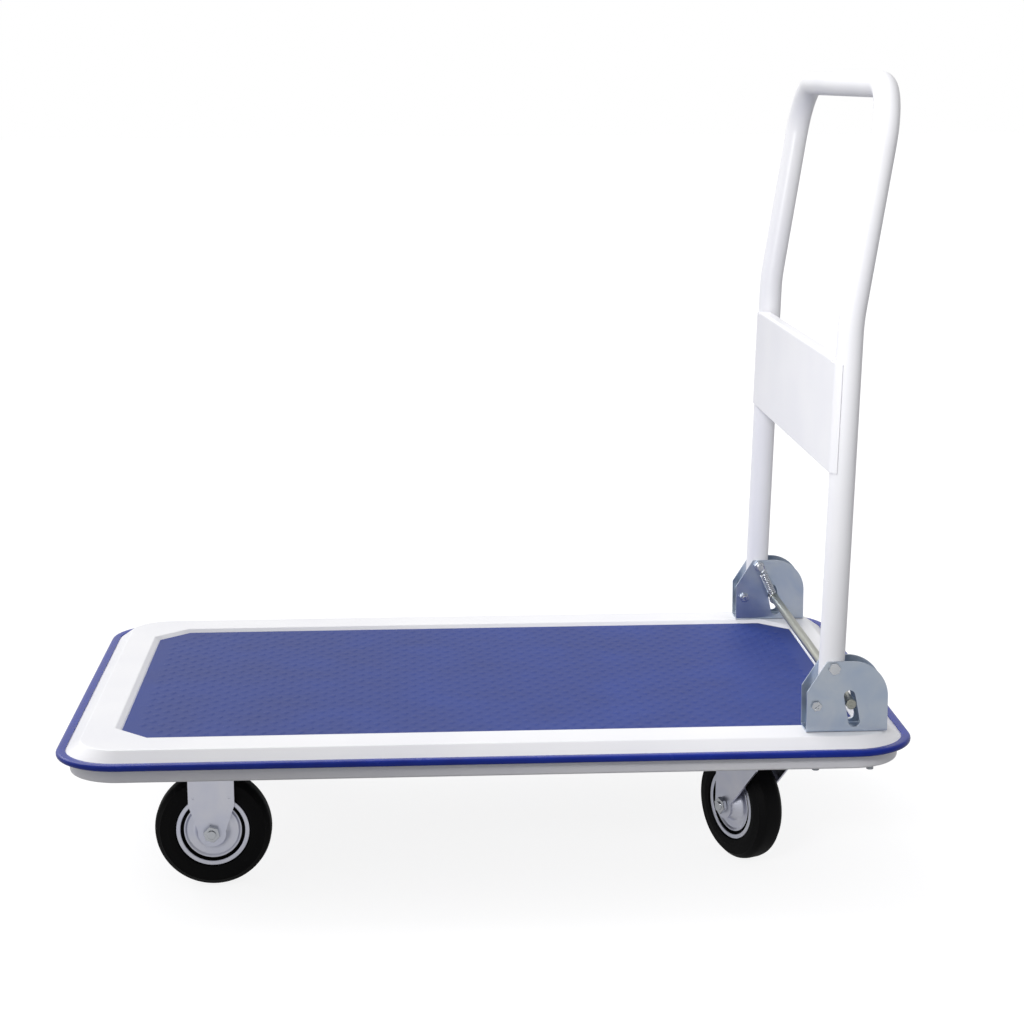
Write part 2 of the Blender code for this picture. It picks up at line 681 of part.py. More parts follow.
def handle_tube(pivot):
    data = tube_curve("handle_tube", handle_path(), TUBE_RADIUS, 3, False)
    tube = finish_object("handle_tube", mesh_of_curve(data), "white_paint", pivot)
    wall = tube.modifiers.new("Wall", "SOLIDIFY")
    wall.thickness = TUBE_WALL
    wall.offset = -1.0
    wall.use_even_offset = True
    hole = PIVOT_BOLT["shank"] + HOLE_CLEAR
    reach = TUBE_RADIUS + PAST
    for side in SIDES.values():
        middle = side * BRACKET_Y
        drill(tube, hole, middle - reach, middle + reach, (0.0, 0.0), parent=pivot)
    smooth(tube)
    return tube


def panel_section():
    """The panel seen along the legs: flat across their deck side, and wrapped round each outer flank."""
    radius = TUBE_RADIUS + CLEAR + PANEL_SHEET / 2
    near = arc((0.0, -BRACKET_Y), radius, math.pi + PANEL_WRAP, math.pi, WRAP_STEPS)
    return near + [(x, -y) for x, y in reversed(near)]


def handle_panel(pivot):
    shape = bmesh.new()
    foot = [shape.verts.new((x, y, PANEL_LOW)) for x, y in panel_section()]
    edges = [shape.edges.new(pair) for pair in zip(foot, foot[1:])]
    grown = bmesh.ops.extrude_edge_only(shape, edges=edges)["geom"]
    raised = [item for item in grown if isinstance(item, bmesh.types.BMVert)]
    bmesh.ops.translate(shape, verts=raised, vec=(0.0, 0.0, PANEL_HEIGHT))
    # The top edge of the flat part is turned back between the legs.
    inside = BRACKET_Y - TUBE_RADIUS - PANEL_SHEET - PANEL_FLANGE_GAP
    for y in (-inside, inside):
        geometry = list(shape.faces) + list(shape.edges) + list(shape.verts)
        bmesh.ops.bisect_plane(shape, geom=geometry, plane_co=(0.0, y, 0.0), plane_no=(0.0, 1.0, 0.0))
    top = PANEL_LOW + PANEL_HEIGHT - CLEAR
    flange = [
        edge
        for edge in shape.edges
        if all(vert.co.z > top and abs(vert.co.y) < inside + CLEAR for vert in edge.verts)
    ]
    grown = bmesh.ops.extrude_edge_only(shape, edges=flange)["geom"]
    turned_back = [item for item in grown if isinstance(item, bmesh.types.BMVert)]
    bmesh.ops.translate(shape, verts=turned_back, vec=(PANEL_FLANGE, 0.0, 0.0))
    panel = finish_object("handle_panel", mesh_from(shape, "panel"), "white_paint", pivot)
    wall = panel.modifiers.new("Sheet", "SOLIDIFY")
    wall.thickness = PANEL_SHEET
    wall.offset = 0.0
    wall.use_even_offset = True
    return panel


# ---------- wheels and castors ----------

def tyre_profile():
    """Half the tyre's section from the crown out to the bead, mirrored: a round, balloon-like tread."""
    width = TYRE_HALF_WIDTH
    middle = WHEEL_RADIUS - width * TYRE_CROWN_FLATNESS
    round_crown = arc((middle, 0.0), width, TYRE_CROWN_HALF_ANGLE, -TYRE_CROWN_HALF_ANGLE, 6)
    crown = [(middle + (radius - middle) * TYRE_CROWN_FLATNESS, height) for radius, height in round_crown]
    flank = RIM_FLANGE_HALF_WIDTH - RIM_SHEET - CLEAR
    lip = RIM_FLANGE_RADIUS + CLEAR
    foot = width - TYRE_FLANK_DRAFT
    right = [(TYRE_FLANK_RADIUS, width), (lip + TYRE_FOOT, foot), (lip, flank), (TYRE_BEAD_RADIUS, flank)]
    left = [(radius, -height) for radius, height in right]
    return crown + left + list(reversed(right))


def rim_profile():
    """The steel rim's section: hub, dished discs, groove and outer flanges."""
    barrel = TYRE_BEAD_RADIUS - CLEAR
    flange = RIM_FLANGE_HALF_WIDTH
    half = [
        (RIM_FLANGE_RADIUS, flange - RIM_SHEET),
        (RIM_FLANGE_RADIUS, flange),
        (barrel + RIM_DRAFT, flange),
        (barrel - RIM_DRAFT, flange - RIM_GROOVE_DEPTH),
        (RIM_DISC_RADIUS + RIM_DRAFT, flange - RIM_GROOVE_DEPTH),
        (RIM_DISC_RADIUS, flange - RIM_DISC_INSET),
        (HUB_RADIUS + HUB_FILLET, flange - RIM_DISC_INSET - RIM_DISC_DISH),
        (HUB_RADIUS, HUB_HALF_WIDTH),
        (HUB_BORE, HUB_HALF_WIDTH),
    ]
    inner = [(barrel, flange - RIM_SHEET)]
    right = inner + half
    left = [(radius, -height) for radius, height in reversed(right)]
    return list(reversed(right + left))


def wheel(word, axle):
    """Rim and tyre on a castor's axle."""
    turned(word + "_rim", rim_profile(), "zinc", axle)
    turned(word + "_tyre", tyre_profile(), "tyre", axle)


def axle_set(word, axle, outboard):
    """The bolt, spacer sleeve and nut that hold a wheel in its fork."""
    face = AXLE_HALF_LENGTH + CLEAR
    tip = face + NUT_HEIGHT + AXLE_BOLT_TAIL
    bolt(word + "_axle_bolt", AXLE_BOLT, (0.0, 0.0), -outboard * face, outboard * tip, parent=axle)
    nut(word + "_axle_nut", AXLE_BOLT, (0.0, 0.0), outboard * face, outboard, parent=axle)
    reach = FORK_GAP - CLEAR
    sleeve = finish_object(word + "_axle_sleeve", rod_mesh(SLEEVE_RADIUS, -reach, reach), "zinc", axle)
    drill(sleeve, SLEEVE_BORE, -reach - PAST, reach + PAST, (0.0, 0.0), parent=axle)


def plate_holes(plate, parent):
    low = PLATE_BOTTOM - PAST
    high = PLATE_TOP + PAST
    for x in (-1, 1):
        for y in (-1, 1):
            centre = (x * (PLATE_LENGTH / 2 - PLATE_HOLE_INSET), y * (PLATE_WIDTH / 2 - PLATE_HOLE_INSET))
            drill(plate, PLATE_HOLE_RADIUS, low, high, centre, "Z", parent, HOLE_STEPS)


def plate_mesh():
    half = (PLATE_LENGTH / 2, PLATE_WIDTH / 2)
    return box_mesh((-half[0], -half[1], PLATE_BOTTOM), (half[0], half[1], PLATE_TOP))


def rigid_fork(word, base):
    """One pressing: a top plate with two cheeks down to the axle."""
    fork = finish_object(word + "_fork", plate_mesh(), "zinc", base)
    half = FRONT_FORK_WIDTH / 2
    outline = [(-half, PLATE_TOP - PLATE_SHEET / 2), (-half, FRONT_FORK_TAPER)]
    outline += arc((0.0, WHEEL_RADIUS), FORK_BOSS, math.radians(170), math.radians(370), BOSS_STEPS)
    outline += [(half, FRONT_FORK_TAPER), (half, PLATE_TOP - PLATE_SHEET / 2)]
    for side in (-1, 1):
        low, high = sorted((side * FORK_GAP, side * (FORK_GAP + FORK_SHEET)))
        add_boolean(fork, cutter_object(prism_mesh(outline, "Y", low, high), base), "UNION")
    reach = AXLE_HALF_LENGTH + PAST
    drill(fork, AXLE_RADIUS + HOLE_CLEAR, -reach, reach, (0.0, WHEEL_RADIUS), parent=base)
    plate_holes(fork, base)


def rigid_castor(word, x, y, outboard):
    base = empty(word + "_base", (x, y, 0.0))
    axle = empty(word + "_axle", (x, y, WHEEL_RADIUS))
    rigid_fork(word, base)
    axle_set(word, axle, outboard)
    wheel(word, axle)


def swivel_fork(word, swivel):
    """A round crown under the ball race, with two swept cheeks back to the axle."""
    top = FORK_TOP
    under = top - FORK_SHEET
    crown_mesh = rod_mesh(RACE_RADIUS, under, top, axis="Z", steps=CROWN_STEPS)
    crown = finish_object(word + "_fork", crown_mesh, "zinc", swivel)
    outline = [(-FORK_FRONT_REACH, top), (-FORK_FRONT_REACH, top - FORK_FRONT_EDGE)]
    outline += [(along, top - drop) for along, drop in FORK_SWEEP]
    outline += arc((TRAIL, WHEEL_RADIUS), FORK_BOSS, math.radians(160), math.radians(365), BOSS_STEPS)
    outline += [(FORK_REAR_REACH + FORK_REAR_FLARE, top - FORK_REAR_EDGE), (FORK_REAR_REACH, top)]
    for side in (-1, 1):
        low, high = sorted((side * FORK_GAP, side * (FORK_GAP + FORK_SHEET)))
        add_boolean(crown, cutter_object(prism_mesh(outline, "Y", low, high), swivel), "UNION")
    half = FORK_GAP + FORK_SHEET / 2
    bridge = box_mesh((-FORK_FRONT_REACH, -half, under), (FORK_REAR_REACH, half, top))
    add_boolean(crown, cutter_object(bridge, swivel), "UNION")
    reach = AXLE_HALF_LENGTH + PAST
    drill(crown, AXLE_RADIUS + HOLE_CLEAR, -reach, reach, (TRAIL, WHEEL_RADIUS), parent=swivel)
    drill(crown, KINGPIN_RADIUS + HOLE_CLEAR, under - PAST, top + PAST, (0.0, 0.0), "Z", swivel)


def swivel_castor(word, x, y, outboard):
    base = empty(word + "_base", (x, y, 0.0))
    swivel = empty(word + "_swivel", (x, y, 0.0), (0.0, 0.0, TRAIL_ANGLE))
    axle = empty(word + "_axle", (TRAIL, 0.0, WHEEL_RADIUS))
    axle.parent = swivel
    plate = finish_object(word + "_top_plate", plate_mesh(), "zinc", base)
    plate_holes(plate, base)
    drill(plate, KINGPIN_RADIUS + HOLE_CLEAR, PLATE_BOTTOM - PAST, PLATE_TOP + PAST, (0.0, 0.0), "Z", base)
    race_low = FORK_TOP + CLEAR
    race_high = PLATE_BOTTOM - CLEAR
    waist = (race_low + race_high) / 2
    race = [
        (RACE_RADIUS, race_high),
        (RACE_RADIUS, waist + RACE_STEP),
        (RACE_RADIUS - RACE_WAIST, waist),
        (RACE_RADIUS - RACE_STEP, race_low),
        (RACE_INNER_RADIUS, race_low),
        (RACE_INNER_RADIUS, race_high),
    ]
    turned(word + "_ball_race", race, "zinc", base, across=False)
    head_top = FORK_TOP - FORK_SHEET - CLEAR
    pin = [
        (KINGPIN_RADIUS, PLATE_TOP),
        (KINGPIN_RADIUS, head_top),
        (KINGPIN_HEAD, head_top),
        (KINGPIN_HEAD, head_top - KINGPIN_HEAD_EDGE),
        (KINGPIN_RADIUS, head_top - KINGPIN_HEAD_HEIGHT),
        (0.0, head_top - KINGPIN_HEAD_HEIGHT),
        (0.0, PLATE_TOP),
    ]
    turned(word + "_kingpin", pin, "zinc", base, steps=SMALL_STEPS, across=False)
    swivel_fork(word, swivel)
    axle_set(word, axle, outboard)
    wheel(word, axle)


def build():
    deck_pan()
    deck_mat()
    bumper_strip()
    front_x = -HALF_LENGTH + FRONT_AXLE_X
    rear_x = HALF_LENGTH - REAR_SWIVEL_X
    cross_member("front_cross_member", front_x)
    cross_member("rear_cross_member", rear_x)
    for word, side in SIDES.items():
        bracket_support(word + "_bracket_support", side)
        bracket(word + "_bracket", side)
        bracket_fasteners(word, side)
        lock_spring(word, side)
        rigid_castor("front_" + word, front_x, side * (HALF_WIDTH - FRONT_TRACK_INSET), side)
        swivel_castor("rear_" + word, rear_x, side * (HALF_WIDTH - REAR_TRACK_INSET), 1)
    lock_bar()
    pivot = empty("handle_pivot", (PIVOT_X, 0.0, PIVOT_Z), (0.0, HANDLE_LEAN, 0.0))
    handle_tube(pivot)
    handle_panel(pivot)


build()
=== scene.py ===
import json
import math

import bmesh
import bpy
from mathutils import Matrix, Vector


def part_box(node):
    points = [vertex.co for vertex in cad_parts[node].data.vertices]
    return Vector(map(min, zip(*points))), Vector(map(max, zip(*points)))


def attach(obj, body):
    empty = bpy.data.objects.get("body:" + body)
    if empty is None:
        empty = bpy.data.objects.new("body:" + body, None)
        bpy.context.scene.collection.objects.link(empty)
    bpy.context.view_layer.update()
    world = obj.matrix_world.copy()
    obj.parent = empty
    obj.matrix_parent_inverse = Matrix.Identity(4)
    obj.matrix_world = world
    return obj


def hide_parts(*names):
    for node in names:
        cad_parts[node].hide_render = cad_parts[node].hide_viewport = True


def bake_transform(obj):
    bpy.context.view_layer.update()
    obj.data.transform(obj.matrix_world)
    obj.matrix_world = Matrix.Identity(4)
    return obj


# Folding platform cart: the looks. Metres, +Z up, floor at z = 0, handle towards +X.

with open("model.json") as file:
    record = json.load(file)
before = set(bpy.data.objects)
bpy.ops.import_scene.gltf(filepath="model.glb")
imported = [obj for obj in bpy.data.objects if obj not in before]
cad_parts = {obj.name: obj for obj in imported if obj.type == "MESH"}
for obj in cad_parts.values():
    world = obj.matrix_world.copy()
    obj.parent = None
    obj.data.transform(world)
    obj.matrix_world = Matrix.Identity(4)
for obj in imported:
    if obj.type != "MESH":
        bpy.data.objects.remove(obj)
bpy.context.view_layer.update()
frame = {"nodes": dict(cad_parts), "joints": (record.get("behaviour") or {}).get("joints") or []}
joints = {joint["name"]: joint for joint in frame["joints"]}
sides = {"left": -1, "right": 1}
gap = 0.0003  # the frame's own gap between pieces that touch
weld = 0.00001
mm = 0.001
print("frame loaded:", len(frame["nodes"]), "nodes")


# camera

camera = {
    "place": (-0.0827, -2.5066, 0.8532),
    "yaw": math.radians(2.8),  # turned to the right of straight along +Y
    "pitch": math.radians(11.1),  # looking down
    "roll": math.radians(-0.3),
    "lens": 77.97,
}
cameraData = bpy.data.cameras.new("camera")
cameraData.lens = camera["lens"]
cameraData.sensor_width = 36.0
cameraData.clip_start = 0.05
cameraData.clip_end = 60.0
cameraObject = bpy.data.objects.new("camera", cameraData)
bpy.context.scene.collection.objects.link(cameraObject)
cameraObject.matrix_world = (
    Matrix.Translation(camera["place"])
    @ Matrix.Rotation(-camera["yaw"], 4, "Z")
    @ Matrix.Rotation(math.pi / 2 - camera["pitch"], 4, "X")
    @ Matrix.Rotation(camera["roll"], 4, "Z")
)
bpy.context.scene.camera = cameraObject


# materials

def linear(text):
    # an sRGB hex colour as the linear values that shaders take
    values = [int(text[i:i + 2], 16) / 255 for i in (1, 3, 5)]
    return tuple(v / 12.92 if v <= 0.04045 else ((v + 0.055) / 1.055) ** 2.4 for v in values) + (1.0,)


def addNode(tree, kind, settings=None, links=None):
    # settings are socket values or the node's own properties; links are socket: (node, output)
    node = tree.nodes.new(kind)
    for key, value in (settings or {}).items():
        if key in node.inputs:
            node.inputs[key].default_value = value
        else:
            setattr(node, key, value)
    for key, (source, output) in (links or {}).items():
        tree.links.new(source.outputs[output], node.inputs[key])
    return node


def newMaterial(name, shaderValues):
    made = bpy.data.materials.new(name)
    made.use_nodes = True
    tree = made.node_tree
    shader = tree.nodes["Principled BSDF"]
    for key, value in shaderValues.items():
        shader.inputs[key].default_value = value
    onPiece = {"Vector": (addNode(tree, "ShaderNodeTexCoord"), "Object")}
    return made, tree, shader, onPiece


def finishSurface(tree, shader, pattern, tones, rough, relief=None):
    # one pattern moves the colour between two hex tones and the roughness between two values;
    # the tones are (low, high, start, end) over the pattern's range, and a relief is (height, strength, distance)
    ramp = addNode(tree, "ShaderNodeValToRGB", links={"Fac": pattern})
    for element, tone, position in zip(ramp.color_ramp.elements, tones[:2], tones[2:]):
        element.position = position
        element.color = linear(tone)
    tree.links.new(ramp.outputs["Color"], shader.inputs["Base Color"])
    gloss = addNode(tree, "ShaderNodeMapRange", {"To Min": rough[0], "To Max": rough[1]}, {"Value": pattern})
    tree.links.new(gloss.outputs["Result"], shader.inputs["Roughness"])
    if relief:
        height, strength, distance = relief
        bump = addNode(tree, "ShaderNodeBump", {"Strength": strength, "Distance": distance}, {"Height": height})
        tree.links.new(bump.outputs["Normal"], shader.inputs["Normal"])


def whitePowderCoat():
    # baked white powder coat on steel: smooth, a soft gloss, and a very fine orange peel
    peelSize = 2.2 * mm
    patchSize = 140 * mm
    values = {"IOR": 1.5, "Coat Weight": 0.15, "Coat Roughness": 0.25}
    made, tree, shader, onPiece = newMaterial("whitePowderCoat", values)
    patches = addNode(tree, "ShaderNodeTexNoise", {"Scale": 1 / patchSize, "Detail": 2.0}, onPiece)
    peel = addNode(tree, "ShaderNodeTexNoise", {"Scale": 1 / peelSize, "Detail": 1.0}, onPiece)
    tones = ("#F0F0F5", "#F5F5F8", 0.35, 0.65)
    relief = ((peel, "Fac"), 0.10, 0.03 * mm)
    finishSurface(tree, shader, (patches, "Fac"), tones, (0.30, 0.40), relief)
    return made


def embossedVinyl():
    # calendered PVC sheet: a matt blue with a leathery grain, a little paler where it is scuffed
    grainSize = 1.6 * mm
    scuffSize = 90 * mm
    made, tree, shader, onPiece = newMaterial("embossedVinyl", {"IOR": 1.52, "Specular IOR Level": 0.15})
    scuffs = addNode(tree, "ShaderNodeTexNoise", {"Scale": 1 / scuffSize, "Detail": 3.0}, onPiece)
    grain = addNode(
        tree, "ShaderNodeTexVoronoi", {"Scale": 1 / grainSize, "feature": "SMOOTH_F1"}, onPiece
    )
    tones = ("#253880", "#2D418C", 0.3, 0.7)
    relief = ((grain, "Distance"), 0.25, 0.12 * mm)
    finishSurface(tree, shader, (scuffs, "Fac"), tones, (0.42, 0.56), relief)
    return made


def glossyVinyl():
    # extruded soft PVC: a deep, glossy blue with faint draw marks along it
    rippleSize = 30 * mm
    made, tree, shader, onPiece = newMaterial("glossyVinyl", {"IOR": 1.53, "Specular IOR Level": 0.22})
    ripples = addNode(tree, "ShaderNodeTexNoise", {"Scale": 1 / rippleSize, "Detail": 2.0}, onPiece)
    tones = ("#08248C", "#0D2C99", 0.3, 0.7)
    relief = ((ripples, "Fac"), 0.05, 0.08 * mm)
    finishSurface(tree, shader, (ripples, "Fac"), tones, (0.20, 0.32), relief)
    return made


def zincPlate(name, low, high, roughLow, roughHigh):
    # bright zinc plating with a clear blue passivate: cloudy tints, and a fine rolled grain under them
    cloudSize = 38 * mm
    grainSize = 0.8 * mm
    made, tree, shader, onPiece = newMaterial(name, {"Metallic": 1.0})
    cloudy = {"Scale": 1 / cloudSize, "Detail": 3.0, "Distortion": 0.6}
    clouds = addNode(tree, "ShaderNodeTexNoise", cloudy, onPiece)
    grain = addNode(tree, "ShaderNodeTexNoise", {"Scale": 1 / grainSize, "Detail": 2.0}, onPiece)
    tones = (low, high, 0.3, 0.7)
    relief = ((grain, "Fac"), 0.06, 0.03 * mm)
    finishSurface(tree, shader, (clouds, "Fac"), tones, (roughLow, roughHigh), relief)
    return made


def drawnSteel():
    # cold-drawn bar, plated and rubbed by the brackets: an olive grey with streaks along it
    streakWidth = 0.9 * mm
    streakLength = 60 * mm
    made, tree, shader, onPiece = newMaterial("drawnSteel", {"Metallic": 1.0})
    along = addNode(
        tree,
        "ShaderNodeMapping",
        {"Scale": (1 / streakWidth, 1 / streakLength, 1 / streakWidth)},
        onPiece,
    )
    streaks = addNode(tree, "ShaderNodeTexNoise", {"Scale": 1.0, "Detail": 3.0}, {"Vector": (along, "Vector")})
    tones = ("#93948A", "#B4B5AD", 0.3, 0.7)
    finishSurface(tree, shader, (streaks, "Fac"), tones, (0.26, 0.42))
    return made


def blackRubber():
    # moulded solid rubber: near black and dull, with a fine mould texture and a trace of dust
    grainSize = 0.7 * mm
    dustSize = 22 * mm
    made, tree, shader, onPiece = newMaterial("blackRubber", {"IOR": 1.5, "Specular IOR Level": 0.12})
    dust = addNode(tree, "ShaderNodeTexNoise", {"Scale": 1 / dustSize, "Detail": 4.0}, onPiece)
    grain = addNode(tree, "ShaderNodeTexNoise", {"Scale": 1 / grainSize, "Detail": 2.0}, onPiece)
    tones = ("#060607", "#0B0B0C", 0.4, 0.8)
    relief = ((grain, "Fac"), 0.2, 0.05 * mm)
    finishSurface(tree, shader, (dust, "Fac"), tones, (0.55, 0.7), relief)
    return made


finishes = {
    "white": whitePowderCoat(),
    "mat": embossedVinyl(),
    "bumper": glossyVinyl(),
    "zinc": zincPlate("bluePassivatedZinc", "#B2C0D4", "#CBD2DA", 0.26, 0.38),
    "pressedZinc": zincPlate("pressedZincSteel", "#D8DBEA", "#E6E7F0", 0.30, 0.42),
    "bolt": zincPlate("zincPlatedBolts", "#C4C8CE", "#DEE0E3", 0.18, 0.30),
    "bar": drawnSteel(),
    "rubber": blackRubber(),
}
print("materials made:", len(finishes))


# making pieces

def objectFrom(name, shape):
    bmesh.ops.remove_doubles(shape, verts=shape.verts, dist=weld)
    bmesh.ops.recalc_face_normals(shape, faces=shape.faces)
    mesh = bpy.data.meshes.new(name)
    shape.to_mesh(mesh)
    shape.free()
    piece = bpy.data.objects.new(name, mesh)
    bpy.context.scene.collection.objects.link(piece)
    return piece


def boolean(piece, shape, operation="DIFFERENCE"):
    # a cut or a join; the helper object goes when the piece is settled
    helper = objectFrom("helper", shape)
    helper.hide_render = True
    change = piece.modifiers.new(operation.title(), "BOOLEAN")
    change.operation = operation
    change.object = helper


def sheetWall(piece, thickness, offset=0.0):
    wall = piece.modifiers.new("Wall", "SOLIDIFY")
    wall.thickness = thickness
    wall.offset = offset
    wall.use_even_offset = True


def softEdges(piece, width, angle=40):
    soft = piece.modifiers.new("Edges", "BEVEL")
    soft.width = width
    soft.segments = 2
    soft.limit_method = "ANGLE"
    soft.angle_limit = math.radians(angle)
    soft.use_clamp_overlap = True


def settle(piece):
    # the modifiers' result becomes the mesh
    bpy.context.view_layer.update()
    graph = bpy.context.evaluated_depsgraph_get()
    mesh = bpy.data.meshes.new_from_object(piece.evaluated_get(graph))
    helpers = [change.object for change in piece.modifiers if change.type == "BOOLEAN"]
    piece.modifiers.clear()
    piece.data = mesh
    for helper in helpers:
        bpy.data.objects.remove(helper, do_unlink=True)


def dress(piece, finish, body, stands=(), sharp=40):
    if piece.modifiers:
        settle(piece)
    mesh = piece.data
    mesh.materials.clear()
    mesh.materials.append(finishes[finish])
    mesh.shade_smooth()
    mesh.set_sharp_from_angle(angle=math.radians(sharp))
    # big flat faces keep their own direction beside small rounded ones
    shading = piece.modifiers.new("Shading", "WEIGHTED_NORMAL")
    shading.keep_sharp = True
    settle(piece)
    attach(piece, body)
    if stands:
        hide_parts(*stands)
    return piece


def rounded(corners, closed=True, steps=4):
    # an outline from (a, b, radius) corners, with each corner turned into an arc
    outline = []
    count = len(corners)
    for i, (a, b, radius) in enumerate(corners):
        if radius == 0:
            outline.append((a, b))
            continue
        here = Vector((a, b))
        before = Vector(corners[i - 1][:2]) - here
        after = Vector(corners[(i + 1) % count][:2]) - here
        half = before.angle(after) / 2
        centre = here + (before.normalized() + after.normalized()).normalized() * radius / math.sin(half)
        start = here + before.normalized() * radius / math.tan(half) - centre
        end = here + after.normalized() * radius / math.tan(half) - centre
        first = math.atan2(start.y, start.x)
        turn = (math.atan2(end.y, end.x) - first + math.pi) % (2 * math.pi) - math.pi
        for step in range(steps + 1):
            angle = first + turn * step / steps
            outline.append((centre.x + radius * math.cos(angle), centre.y + radius * math.sin(angle)))
    return outline


def arcPoints(centre, radius, start, end, steps):
    angles = [math.radians(start + (end - start) * i / steps) for i in range(steps + 1)]
    return [(centre[0] + radius * math.cos(a), centre[1] + radius * math.sin(a), 0.0) for a in angles]


def channelOutline(low, high, base, lips, sheet, bend):
    # the section of a sheet bent to a U, from its lips to its base
    step = math.copysign(sheet, lips - base)
    return rounded(
        [
            (low, lips, 0.0),
            (low, base, bend),
            (high, base, bend),
            (high, lips, 0.0),
            (high - sheet, lips, 0.0),
            (high - sheet, base + step, bend - sheet),
            (low + sheet, base + step, bend - sheet),
            (low + sheet, lips, 0.0),
        ],
        steps=6,
    )


def vertsIn(items):
    return [item for item in items if isinstance(item, bmesh.types.BMVert)]


def edgesIn(items):
    return [item for item in items if isinstance(item, bmesh.types.BMEdge)]


def everythingIn(shape):
    return list(shape.verts) + list(shape.edges) + list(shape.faces)


def extruded(shape, edges):
    # the verts and edges at the moving end of a strip grown from these edges
    grown = bmesh.ops.extrude_edge_only(shape, edges=edges)["geom"]
    verts = vertsIn(grown)
    known = set(verts)
    return verts, [edge for edge in edgesIn(grown) if set(edge.verts) <= known]


def spun(shape, verts, edges, centre, axis, angle, steps, merge=False):
    # the last ring of edges that a spin makes
    last = bmesh.ops.spin(
        shape, geom=edges + verts, cent=centre, axis=axis, dvec=(0, 0, 0), angle=angle, steps=steps,
        use_merge=merge, use_duplicate=False,
    )["geom_last"]
    return edgesIn(last)


def placed(x, y, z, turn=Matrix.Identity(4)):
    return Matrix.Translation((x, y, z)) @ turn


def turnZ(degrees):
    return Matrix.Rotation(math.radians(degrees), 4, "Z")


def prism(shape, outline, axis, low, high, matrix=None):
    # an outline in the plane across an axis, extruded along that axis
    place = {"X": lambda a, b: (low, a, b), "Y": lambda a, b: (a, low, b), "Z": lambda a, b: (a, b, low)}[axis]
    face = shape.faces.new([shape.verts.new(place(a, b)) for a, b in outline])
    grown = bmesh.ops.extrude_face_region(shape, geom=[face])["geom"]
    moved = vertsIn(grown)
    step = Vector((0.0, 0.0, 0.0))
    step["XYZ".index(axis)] = high - low
    bmesh.ops.translate(shape, verts=moved, vec=step)
    if matrix is not None:
        bmesh.ops.transform(shape, matrix=matrix, verts=moved + list(face.verts))
    return shape


def block(low, high, matrix=None):
    outline = [(low[0], low[1]), (high[0], low[1]), (high[0], high[1]), (low[0], high[1])]
    return prism(bmesh.new(), outline, "Z", low[2], high[2], matrix)


def turnedShape(shape, profile, steps, matrix, closed=True):
    # a profile of (radius, height) points spun round local Z
    verts = [shape.verts.new((radius, 0.0, height)) for radius, height in profile]
    pairs = list(zip(verts, verts[1:]))
    if closed:
        pairs.append((verts[-1], verts[0]))
    edges = [shape.edges.new(pair) for pair in pairs]
    known = set(shape.verts) - set(verts)
    spun(shape, verts, edges, (0, 0, 0), (0, 0, 1), 2 * math.pi, steps, merge=True)
    bmesh.ops.transform(shape, matrix=matrix, verts=[vert for vert in shape.verts if vert not in known])
    return shape


def rodShape(radius, low, high, matrix, steps=32, chamfer=0.0004):
    profile = [
        (0.0, low), (radius - chamfer, low), (radius, low + chamfer),
        (radius, high - chamfer), (radius - chamfer, high), (0.0, high),
    ]
    return turnedShape(bmesh.new(), profile, steps, matrix, closed=False)


def plainRod(radius, low, high, matrix, steps=32):
    return rodShape(radius, low, high, matrix, steps, chamfer=radius * 0.001)


alongY = Matrix.Rotation(-math.pi / 2, 4, "X")  # takes local Z to +Y
alongMinusY = Matrix.Rotation(math.pi / 2, 4, "X")
upsideDown = Matrix.Rotation(math.pi, 4, "X")


# bolts and nuts: sizes are the shank's radius, across the flats, and the head's height

bolts = {
    "bracket": {"shank": 0.004, "flats": 0.013, "head": 0.0050},
    "pivot": {"shank": 0.004, "flats": 0.0115, "head": 0.0040},
    "stop": {"shank": 0.003, "flats": 0.010, "head": 0.0035},
    "axle": {"shank": 0.0048, "flats": 0.016, "head": 0.006},
    "castor": {"shank": 0.004, "flats": 0.012, "head": 0.0045},
}
boltClear = 0.0003  # round a shank in its hole
past = 0.01  # how far a cutter runs past the face that it cuts


def middleOf(node):
    low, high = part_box(node)
    return (low + high) / 2


# deck

deckLow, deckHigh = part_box("bumper_strip")
panLow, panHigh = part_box("deck_pan")
matLow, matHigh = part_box("deck_mat")
rimTop = panHigh.z
flat = Vector((1.0, 1.0, 0.0))
deckHalf = (deckHigh - deckLow) / 2 * flat
matHalf = (matHigh - matLow) / 2 * flat
matMiddle = (matHigh + matLow) / 2 * flat

deck = {
    "corner": 0.071,  # the bumper's corner radius seen from above
    "cornerSteps": 14,
    "sheet": 0.0015,
    "rimInset": 0.026,
    "slopeInset": 0.0102,
    "flangeInset": 0.0045,
    "flangeDrop": 0.0124,
    "hemGap": 0.0022,
    "skirtInset": 0.01475,
    "skirtReturn": 0.009,
    "matCut": 0.034,  # the mat's cut corners
    "stepWidth": 0.007,
}


def ringOf(shape, middle, half, corner, steps, z):
    # a closed loop of edges: a rectangle with its corners rounded, or cut where steps is 1
    verts = bmesh.ops.create_grid(shape, x_segments=1, y_segments=1, size=1.0)["verts"]
    for vert in verts:
        vert.co = (middle.x + math.copysign(half.x, vert.co.x), middle.y + math.copysign(half.y, vert.co.y), z)
    before = set(shape.faces) - set(verts[0].link_faces)
    bmesh.ops.bevel(
        shape, geom=verts, offset=corner, offset_type="OFFSET", segments=steps, profile=0.5, affect="VERTICES",
        material=-1,
    )
    face = (set(shape.faces) - before).pop()
    ring = list(face.edges)
    bmesh.ops.delete(shape, geom=[face], context="FACES_ONLY")
    return ring


